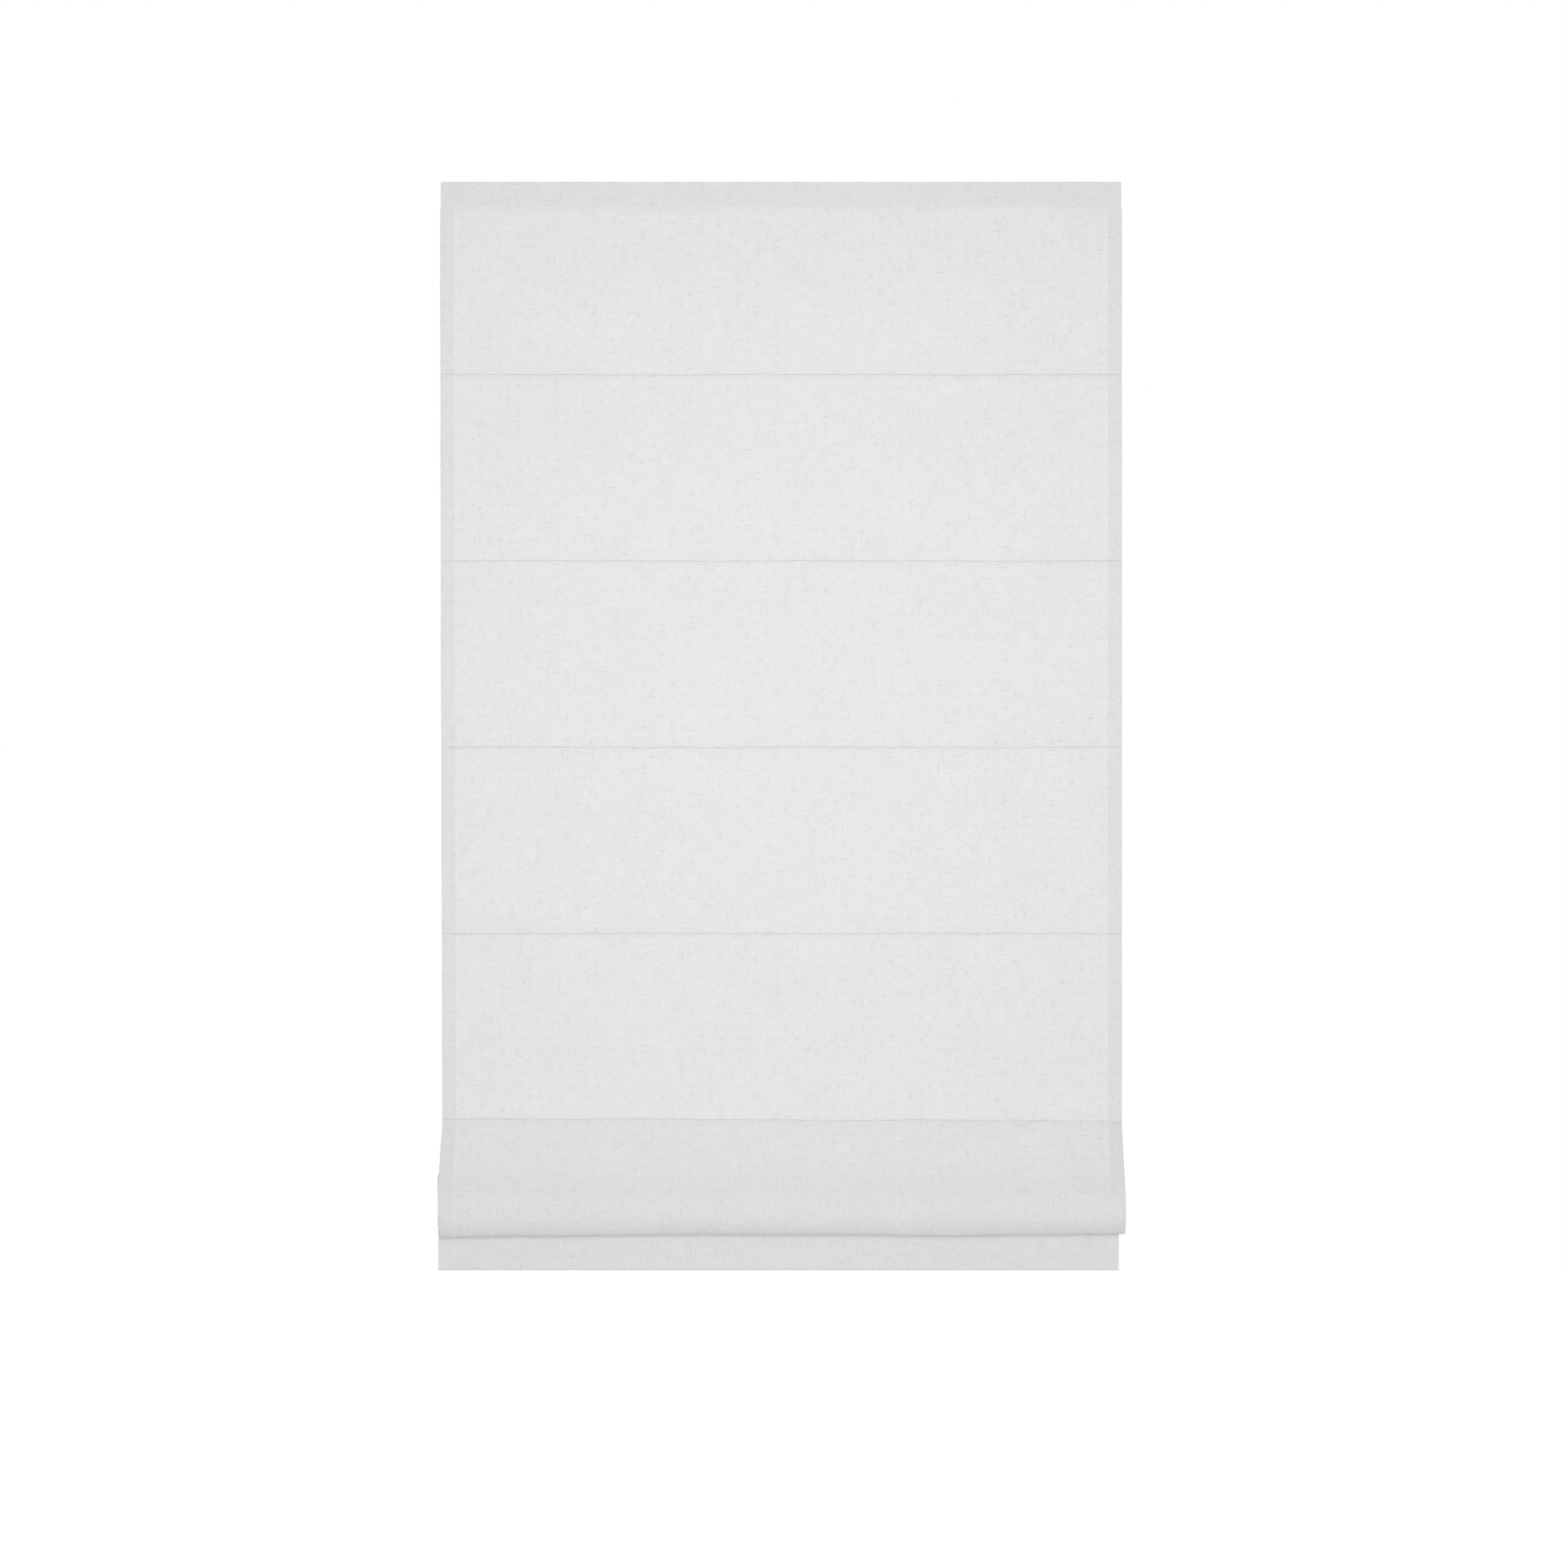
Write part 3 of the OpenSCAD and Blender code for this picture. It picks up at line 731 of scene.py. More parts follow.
def tube(name: str, path: np.ndarray, radius: float, turn_length: float, material: Material,
         sides: int = 10) -> Object:
    """Makes a round cord along a nearly upright path.

    Args:
        name: Name of the piece.
        path: Points along the middle of the cord, as n by 3.
        radius: Radius of the cord.
        turn_length: Length of cord in one repeat of its braid.
        material: What the cord is made of.
        sides: Corners of its section.

    Returns:
        The cord, closed at both ends.
    """
    angles = np.linspace(0.0, 2 * math.pi, sides + 1)
    ring = np.stack([np.cos(angles), np.sin(angles), np.zeros(sides + 1)], axis=1) * radius
    points = (path[:, None, :] + ring[None, :-1, :]).reshape(-1, 3)
    rows = len(path)
    index = np.arange(rows * sides).reshape(rows, sides)
    after = np.roll(index, -1, axis=1)
    faces = Shell.quads(index[1:], after[1:], after[:-1], index[:-1]).tolist()
    faces += [index[0].tolist(), index[-1][::-1].tolist()]
    made = mesh_object(name, points, faces, material)
    run = run_lengths(path) / turn_length
    layer = made.data.uv_layers.new(name=CLOTH_UV)
    for face in made.data.polygons:
        columns = [v % sides for v in face.vertices]
        wraps = max(columns) - min(columns) > 1
        for corner, vertex, column in zip(face.loop_indices, face.vertices, columns):
            around = sides if wraps and column == 0 else column
            layer.data[corner].uv = (around / sides, run[vertex // sides])
    made.data.set_sharp_from_angle(angle=SHARP)
    return made


# Geometry Nodes


class NodeRecipe(NodeTree):
    """A Geometry Nodes tree, built once and then run on objects, each of which becomes a plain mesh."""

    def __init__(self, name: str) -> None:
        """Starts a tree with a geometry input and a geometry output, and builds it.

        Args:
            name: Name of the tree.
        """
        super().__init__(bpy.data.node_groups.new(name, "GeometryNodeTree"))
        self.tree.interface.new_socket("Geometry", in_out="INPUT", socket_type="NodeSocketGeometry")
        self.tree.interface.new_socket("Geometry", in_out="OUTPUT", socket_type="NodeSocketGeometry")
        self.keys: dict[str, str] = {}
        self.build()

    def size(self, name: str, kind: str = "NodeSocketFloat") -> None:
        """Adds a named input."""
        self.keys[name] = self.tree.interface.new_socket(name, in_out="INPUT", socket_type=kind).identifier

    def finish(self, instances: Socket, material: Socket) -> None:
        """Ends the tree: real geometry, smooth, in its material.

        Args:
            instances: The geometry that it ends with.
            material: The input that holds its material.
        """
        real = self.node("GeometryNodeRealizeInstances", {0: instances}).outputs[0]
        smooth = self.node("GeometryNodeSetShadeSmooth", {"Geometry": real}).outputs[0]
        dressed = self.node("GeometryNodeSetMaterial", {"Geometry": smooth, "Material": material}).outputs[0]
        self.node("NodeGroupOutput", {0: dressed})

    def build(self) -> None:
        """Adds the tree's inputs and nodes."""
        raise NotImplementedError

    def run(self, seat: Object, **values: Any) -> Object:
        """Runs the tree on an object and makes the result its mesh.

        Args:
            seat: Object whose mesh the tree starts from.
            **values: Values of the tree's inputs by name.

        Returns:
            The same object, with a plain mesh and no modifier.
        """
        modifier = seat.modifiers.new(self.tree.name, "NODES")
        modifier.node_group = self.tree
        for name, value in values.items():
            modifier[self.keys[name]] = value
        seen = seat.evaluated_get(bpy.context.evaluated_depsgraph_get())
        mesh = bpy.data.meshes.new_from_object(seen)
        seat.modifiers.remove(modifier)
        seat.data = mesh
        LOG.info("%s: %d faces", seat.name, len(mesh.polygons))
        return seat


class StitchRow(NodeRecipe):
    """Short bars of thread, one behind the other along the edges of a mesh."""

    def build(self) -> None:
        """Adds the stitch, its spacing and its turn along the row."""
        for name in ("pitch", "length", "thickness"):
            self.size(name)
        self.size("material", "NodeSocketMaterial")
        given = self.node("NodeGroupInput").outputs
        row = self.node("GeometryNodeMeshToCurve", {0: given["Geometry"]}).outputs[0]
        places = self.node("GeometryNodeCurveToPoints", {
            "Curve": row, "Length": given["pitch"]}, mode="LENGTH")
        ball = self.node("GeometryNodeMeshUVSphere", {"Segments": 6, "Rings": 4, "Radius": 0.5}).outputs[0]
        scale = self.node("ShaderNodeCombineXYZ", {
            0: given["thickness"], 1: given["thickness"], 2: given["length"]})
        stitch = self.node("GeometryNodeTransform", {"Geometry": ball, "Scale": scale.outputs[0]}).outputs[0]
        stitches = self.node("GeometryNodeInstanceOnPoints", {
            "Points": places.outputs["Points"], "Instance": stitch, "Rotation": places.outputs["Rotation"]})
        self.finish(stitches.outputs[0], given["material"])


class Coil(NodeRecipe):
    """A helix of wire or thread along X at each vertex of a mesh."""

    def build(self) -> None:
        """Adds the helix, its round section and its places."""
        for name in ("turns", "radius", "length", "wire", "flatten"):
            self.size(name)
        self.size("steps", "NodeSocketInt")
        self.size("material", "NodeSocketMaterial")
        given = self.node("NodeGroupInput").outputs
        spiral = self.node("GeometryNodeCurveSpiral", {
            "Resolution": given["steps"], "Rotations": given["turns"], "Start Radius": given["radius"],
            "End Radius": given["radius"], "Height": given["length"]}).outputs[0]
        radius = self.node("ShaderNodeMath", {0: given["wire"], 1: 0.5}, operation="MULTIPLY").outputs[0]
        section = self.node("GeometryNodeCurvePrimitiveCircle", {
            "Resolution": 8, "Radius": radius}).outputs[0]
        scale = self.node("ShaderNodeCombineXYZ", {0: given["flatten"], 1: 1.0, 2: 1.0}).outputs[0]
        squeezed = self.node("GeometryNodeTransform", {"Geometry": spiral, "Scale": scale}).outputs[0]
        wound = self.node("GeometryNodeCurveToMesh", {
            "Curve": squeezed, "Profile Curve": section, "Fill Caps": True}).outputs[0]
        lying = self.node("GeometryNodeTransform", {
            "Geometry": wound, "Rotation": (0.0, math.pi / 2, 0.0)}).outputs[0]
        coils = self.node("GeometryNodeInstanceOnPoints", {"Points": given["Geometry"], "Instance": lying})
        self.finish(coils.outputs[0], given["material"])


# Cloth

TIGHT_STEPS = 6
TURN_STEPS = 8
HEM_STEPS = 12
ROUND_STEPS = 22


@dataclass(frozen=True)
class ClothSizes:
    """Sizes of the sewn cloth: what the solids hold comes from the frame, the rest from its cutting plan."""

    top_z: float
    bottom_z: float
    plane_y: float
    half_width: float
    tunnel_y: float
    seams: tuple[float, ...]
    thickness: float = 0.45 * MM
    top_hem: float = 37 * MM
    side_hem: float = 20 * MM
    bottom_hem: float = 62 * MM
    fold_r: float = 0.5 * MM
    turn_r: float = 0.8 * MM
    tight_r: float = 0.6 * MM
    dip: float = 0.9 * MM
    stem_gap: float = 0.24 * MM
    stitch_back: float = 4 * MM
    tunnel_r: float = 3.1 * MM
    tuck_half: float = 6 * MM
    belly: float = 3 * MM
    pleat_r: float = 9 * MM
    pleat_front_r: float = 55 * MM
    pleat_under: float = 45.0
    pleat_out: float = 26 * MM
    pleat_slack: float = 1 * MM
    hem_r: float = 2.8 * MM
    hem_pocket: float = 25 * MM
    doubled_band: tuple[float, float] = (1 * MM, 21 * MM)
    doubled_fade: float = 20 * MM
    stem_step: float = 1 * MM
    taper_step: float = 2 * MM
    row_step: float = 5.5 * MM
    columns: int = 141

    @classmethod
    def from_frame(cls) -> ClothSizes:
        """Reads from the frame what the solids hold.

        Returns:
            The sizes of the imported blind.
        """
        low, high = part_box("cloth_panel")
        tape_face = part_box("loop_tape")[0].y
        rods = [middle(f"rod_{k}") for k in range(1, RODS + 1)]
        layers_to_middle = 0.9 * MM
        return cls(
            top_z=high.z, bottom_z=low.z, plane_y=tape_face - layers_to_middle, half_width=high.x,
            tunnel_y=rods[0][1], seams=tuple(rod[2] for rod in rods))

    @property
    def band_z(self) -> float:
        """Height of the lower edge of the top hem."""
        return self.top_z - self.top_hem


def arc(centre: Sequence[float], radius: float, start: float, end: float, steps: int) -> np.ndarray:
    """Returns points of an arc in depth and height, between two angles in degrees."""
    turn = np.radians(np.linspace(start, end, steps + 1))
    return np.asarray(centre) + radius * np.stack([np.cos(turn), np.sin(turn)], axis=1)


def straight(start: Sequence[float], end: Sequence[float], step: float) -> np.ndarray:
    """Draws a straight run in depth and height.

    Args:
        start: Its first point.
        end: Its last point.
        step: The most that two points may lie apart.

    Returns:
        Points from the first to the last.
    """
    length = math.dist(start, end)
    share = np.linspace(0.0, 1.0, max(1, math.ceil(length / step)) + 1)[:, None]
    return np.asarray(start) * (1 - share) + np.asarray(end) * share


def joined(*runs: np.ndarray) -> np.ndarray:
    """Joins runs of points.

    Args:
        *runs: The runs, each from where the one before it ends.

    Returns:
        One path, without the points that two runs share.
    """
    points = np.concatenate(runs)
    apart = np.linalg.norm(np.diff(points, axis=0), axis=1) > SAME_POINT
    return points[np.concatenate([[True], apart])]


def eased(values: np.ndarray, knots: Sequence[tuple[float, float]]) -> np.ndarray:
    """Draws a curve that is level at each of its knots.

    Args:
        values: Places to read it at.
        knots: Places and values that it passes through, in order.

    Returns:
        Its value at each place.
    """
    places, heights = (np.array(column) for column in zip(*knots))
    step = np.clip(np.searchsorted(places, values) - 1, 0, len(places) - 2)
    share = np.clip((values - places[step]) / (places[step + 1] - places[step]), 0.0, 1.0)
    share = share * share * (3 - 2 * share)
    return heights[step] * (1 - share) + heights[step + 1] * share


@dataclass
class Stretch:
    """One stretch of the section, and how freely it hangs.

    Attributes:
        zone: What the stretch is.
        index: Which of its kind it is, from 1.
        points: Depth and height of each row.
        seam: Number of the seam whose waves its rows follow, 0 for none.
        hold: 1 where a row follows the seam's waves, 0 where it doesn't.
        swell: 1 where a row hangs most freely, 0 where it is held.
    """

    zone: Zone
    index: int
    points: np.ndarray
    seam: int
    hold: np.ndarray
    swell: np.ndarray


class ClothSection:
    """The section of the hanging cloth, from its top edge down, as one row of stretches."""

    def __init__(self, sizes: ClothSizes) -> None:
        """Draws every stretch in order.

        Args:
            sizes: Sizes of the sewn cloth.
        """
        self.sizes = sizes
        self.pleat_path = self.hung_pleat()
        self.pleat_front = int(np.argmin(self.pleat_path[:, 0]))
        self.pleat_start = int(np.argmax(self.pleat_path[:, 1] < sizes.seams[RODS - 2] - sizes.tuck_half))
        self.tail_joint = 0
        self.stretches: list[Stretch] = [self.band()]
        for k in range(1, RODS):
            self.stretches += [self.drop(k), self.tuck(k)]
        self.stretches += [self.pleat(), self.fold(), self.tail()]

    @staticmethod
    def hanging(zone: Zone, index: int, points: np.ndarray) -> Stretch:
        """Makes a stretch that hangs freely between two held ends.

        Args:
            zone: What the stretch is.
            index: Which of its kind it is, from 1.
            points: Depth and height of each row.

        Returns:
            The stretch.
        """
        run = run_lengths(points)
        swell = np.sin(math.pi * (run / run[-1])) ** 2
        return Stretch(zone, index, points, 0, np.zeros(len(run)), swell)

    def band(self) -> Stretch:
        """Draws the flat band on the rail's face.

        Returns:
            The band's stretch.
        """
        s = self.sizes
        points = straight((s.plane_y, s.top_z - s.fold_r), (s.plane_y, s.band_z), s.row_step)
        made = self.hanging(Zone.BAND, 1, points)
        made.swell[:] = 0.0
        return made

    def drop(self, k: int) -> Stretch:
        """Draws a panel, bowed into the room.

        Args:
            k: Number of the seam below it.

        Returns:
            The panel's stretch.
        """
        s = self.sizes
        start = s.band_z if k == 1 else s.seams[k - 2] - s.tuck_half
        end = s.seams[k - 1] + s.tuck_half
        points = straight((s.plane_y, start), (s.plane_y, end), s.row_step)
        made = self.hanging(Zone.DROP, k, points)
        made.points[:, 0] -= s.belly * made.swell
        return made

    def loop(self, k: int, start_y: float) -> np.ndarray:
        """Draws the stem and the tunnel of a seam: in over the rod and back under it.

        Args:
            k: Number of the seam.
            start_y: Depth that the stem starts at.

        Returns:
            Points along the loop.
        """
        s = self.sizes
        z = s.seams[k - 1]
        crease_y = s.plane_y + (s.dip if k < RODS - 1 else s.turn_r)
        stitch_y = s.plane_y + s.stitch_back
        reach = s.tunnel_y - stitch_y
        lift = math.degrees(math.asin(s.tunnel_r / reach))
        centre = (s.tunnel_y, z)
        upper = straight((start_y, z + s.stem_gap), (stitch_y, z + s.stem_gap), s.stem_step)
        round_rod = arc(centre, s.tunnel_r, 90 + lift, -90 - lift, ROUND_STEPS)
        lower = straight((stitch_y, z - s.stem_gap), (crease_y, z - s.stem_gap), s.stem_step)
        return joined(upper, round_rod, lower)

    def turn_out(self, k: int) -> tuple[float, float]:
        """Returns the centre of the turn out of tuck k, below its seam."""
        s = self.sizes
        return s.plane_y + s.turn_r, s.seams[k - 1] - s.stem_gap - s.turn_r

    def held(self, zone: Zone, index: int, points: np.ndarray, seam: int) -> Stretch:
        """Makes a stretch at one seam, wavy at its crease and straight at its rod and its ends.

        Args:
            zone: What the stretch is.
            index: Which of its kind it is, from 1.
            points: Depth and height of each row.
            seam: Number of the seam.

        Returns:
            The stretch.
        """
        s = self.sizes
        depth = np.clip((points[:, 0] - s.plane_y) / s.stitch_back, 0.0, 1.0)
        near = np.clip(1 - np.abs(points[:, 1] - s.seams[seam - 1]) / s.tuck_half, 0.0, 1.0)
        return Stretch(zone, index, points, seam, (1 - depth) * near, np.zeros(len(points)))

    def tuck(self, k: int) -> Stretch:
        """Draws a tuck: the turn in, the loop round the rod, and the turn out.

        Args:
            k: Number of its seam.

        Returns:
            The tuck's stretch.
        """
        s = self.sizes
        z = s.seams[k - 1]
        into = (s.plane_y + s.tight_r, z + s.stem_gap + s.tight_r)
        points = joined(
            straight((s.plane_y, z + s.tuck_half), (s.plane_y, into[1]), s.row_step),
            arc(into, s.tight_r, 180, 270, TIGHT_STEPS), self.loop(k, into[0]))
        below = self.ease_out(k) if k < RODS - 1 else self.pleat_path[:self.pleat_start + 1]
        return self.held(Zone.TUCK, k, joined(points, below), k)

    def ease_out(self, k: int) -> np.ndarray:
        """Draws the cloth below a tuck, which comes out to the face gently.

        Args:
            k: Number of the tuck's seam.

        Returns:
            Points along it.
        """
        s = self.sizes
        centre = (s.plane_y + s.dip, s.seams[k - 1] - s.stem_gap - s.tight_r)
        end_z = s.seams[k - 1] - s.tuck_half
        slope = math.atan2(2 * s.dip, centre[1] - end_z)
        turn = arc(centre, s.tight_r, 90, 180 - math.degrees(slope), TIGHT_STEPS)
        share = np.linspace(0.0, 1.0, TURN_STEPS + 1)
        depth = (turn[-1, 0] - s.plane_y) * (1 - share) ** 2
        height = turn[-1, 1] * (1 - share) + end_z * share
        return joined(turn, np.column_stack([s.plane_y + depth, height]))

    @staticmethod
    def run_angle(start: Sequence[float], end: Sequence[float], step: float) -> float:
        """Returns the angle of the straight run between two circles that the path passes on given sides."""
        dy, dz = end[0] - start[0], end[1] - start[1]
        return math.degrees(math.atan2(dz, dy) - math.asin(step / math.hypot(dy, dz)))

    def pleat_points(self, roll_z: float) -> np.ndarray:
        """Draws the pleat: out of a tuck, round the roll and up into the last tuck.

        Args:
            roll_z: Height of the roll's middle.

        Returns:
            Points along the pleat.
        """
        s = self.sizes
        out, into = self.turn_out(RODS - 1), self.turn_out(RODS)
        into_r = s.turn_r + 2 * s.stem_gap
        roll = (s.plane_y - s.pleat_out, roll_z)
        under = 180 + s.pleat_under
        inward = s.pleat_front_r - s.pleat_r
        toward = math.radians(under)
        front = (roll[0] - inward * math.cos(toward), roll[1] - inward * math.sin(toward))
        down = self.run_angle(out, front, s.pleat_front_r - s.turn_r) + 360
        up = self.run_angle(roll, into, -into_r - s.pleat_r) + 360
        leave = arc(out, s.turn_r, 90, down - 90, TURN_STEPS)
        turn = joined(
            arc(front, s.pleat_front_r, down - 90, 180, TIGHT_STEPS),
            arc(front, s.pleat_front_r, 180, under, TURN_STEPS),
            arc(roll, s.pleat_r, under, up - 90, ROUND_STEPS))
        enter = arc(into, into_r, up + 90 - 360, 90, TURN_STEPS)
        return joined(leave, straight(leave[-1], turn[0], s.row_step), turn,
                      straight(turn[-1], enter[0], s.row_step), enter)

    def hung_pleat(self) -> np.ndarray:
        """Hangs the pleat so low that it takes up about as much cloth as a panel.

        Returns:
            Points along the pleat.
        """
        s = self.sizes
        panel = s.seams[0] - s.seams[1] - s.pleat_slack
        low, high = s.seams[-1] - panel, s.seams[-1] - s.pleat_r - s.turn_r
        halvings = 40
        for _ in range(halvings):
            roll_z = (low + high) / 2
            points = self.pleat_points(roll_z)
            if np.linalg.norm(np.diff(points, axis=0), axis=1).sum() > panel:
                low = roll_z
            else:
                high = roll_z
        return points

    def pleat(self) -> Stretch:
        """Returns the pleat's slope, from below the tuck above it out to its foremost row."""
        points = self.pleat_path[self.pleat_start:self.pleat_front + 1]
        return self.hanging(Zone.PLEAT, 1, points)

    def fold(self) -> Stretch:
        """Returns the pleat's fold: from its foremost row down, under and up into the last tuck."""
        return self.hanging(Zone.FOLD, 1, self.pleat_path[self.pleat_front:])

    def tail(self) -> Stretch:
        """Draws the last tuck, the tail and its bottom hem round the bar.

        Returns:
            The tail's stretch.
        """
        s = self.sizes
        fold = (s.plane_y + s.hem_r, s.bottom_z + s.thickness / 2 + s.hem_r)
        back_y = s.plane_y + 2 * s.hem_r
        pocket_z = s.bottom_z + s.hem_pocket
        meet = (s.plane_y + 2 * s.fold_r, pocket_z + 4 * s.hem_r)
        centre = self.turn_out(RODS)
        tuck = joined(self.loop(RODS, centre[0]), arc(centre, s.turn_r, 90, 180, TURN_STEPS))
        held = self.held(Zone.TAIL, 1, tuck, RODS)
        free = joined(
            straight((s.plane_y, centre[1]), (s.plane_y, fold[1]), s.row_step),
            arc(fold, s.hem_r, 180, 360, HEM_STEPS),
            straight((back_y, fold[1]), (back_y, pocket_z), s.row_step),
            straight((back_y, pocket_z), meet, s.taper_step),
            straight(meet, (meet[0], s.bottom_z + s.bottom_hem), s.row_step))
        share = np.clip((s.seams[-1] - free[:, 1]) / (s.seams[-1] - s.bottom_z), 0.0, 1.0)
        swell = np.sin(math.pi * share) ** 2
        self.tail_joint = len(tuck)
        points = np.concatenate([tuck, free[1:]])
        hold = np.concatenate([held.hold, np.zeros(len(free) - 1)])
        return Stretch(Zone.TAIL, 1, points, RODS, hold, np.concatenate([held.swell, swell[1:]]))

    def top_fold(self) -> np.ndarray:
        """Draws the back of the top hem, from its lower edge up and over the top fold.

        Returns:
            Points along it.
        """
        s = self.sizes
        centre = (s.plane_y + s.fold_r, s.top_z - s.thickness / 2 - s.fold_r)
        back_y = centre[0] + s.fold_r
        return joined(
            straight((back_y, s.band_z + s.fold_r), (back_y, centre[1]), s.row_step),
            arc(centre, s.fold_r, 0, 180, TURN_STEPS))


@dataclass(frozen=True)
class Drape:
    """How the hanging cloth departs from its drawn section, as the photograph shows it."""

    seed: int = 11
    seam_wave: float = 0.55 * MM
    wave_lengths: tuple[float, ...] = (0.46, 0.21, 0.09)
    ripple: float = 0.55 * MM
    ripple_count: int = 9
    ripple_across: tuple[float, float] = (0.16, 0.6)
    ripple_along: tuple[float, float] = (0.3, 1.2)
    last_tilt: float = -4.0 * MM
    hem_ridge: float = 0.35 * MM
    ridge_width: float = 1.4 * MM
    left_inset: float = 3.4 * MM
    inset_growth: float = 1.3
    edge_knots: tuple[tuple[float, float], ...] = (
        (-0.50, -3.4 * MM), (-0.38, -1.4 * MM), (-0.12, 0.9 * MM), (0.10, 0.6 * MM), (0.25, -1.3 * MM),
        (0.36, 0.6 * MM), (0.50, 1.4 * MM))
    fold_shift: float = 1.8 * MM
    tail_shift: float = -3.6 * MM

    def seam_waves(self, xs: np.ndarray) -> np.ndarray:
        """Draws the waves of the seams.

        Args:
            xs: Places across the blind.

        Returns:
            The rise of each seam at each place, with the top edge as the first and level row.
        """
        turns = np.random.default_rng(self.seed)
        waves = np.zeros((RODS + 1, len(xs)))
        for k in range(1, RODS):
            for length in self.wave_lengths:
                phase = turns.uniform(0.0, 2 * math.pi)
                height = self.seam_wave * (length / self.wave_lengths[0]) ** 0.5
                waves[k] += height * np.sin(2 * math.pi * xs / length + phase)
        waves[RODS - 1] += self.last_tilt * xs
        return waves

    def ripples(self, xs: np.ndarray, run: np.ndarray) -> np.ndarray:
        """Draws gentle swells of the free cloth.

        Args:
            xs: Places across the blind.
            run: Length of cloth from the top edge to each row.

        Returns:
            The swell at each row and place.
        """
        turns = np.random.default_rng(self.seed + 1)
        total = np.zeros((len(run), len(xs)))
        for _ in range(self.ripple_count):
            across = turns.uniform(*self.ripple_across)
            along = turns.uniform(*self.ripple_along)
            phase = turns.uniform(0.0, 2 * math.pi)
            slope = turns.choice((-1.0, 1.0))
            total += np.sin(2 * math.pi * (xs[None, :] / across + slope * run[:, None] / along) + phase)
        return self.ripple * total / math.sqrt(self.ripple_count)


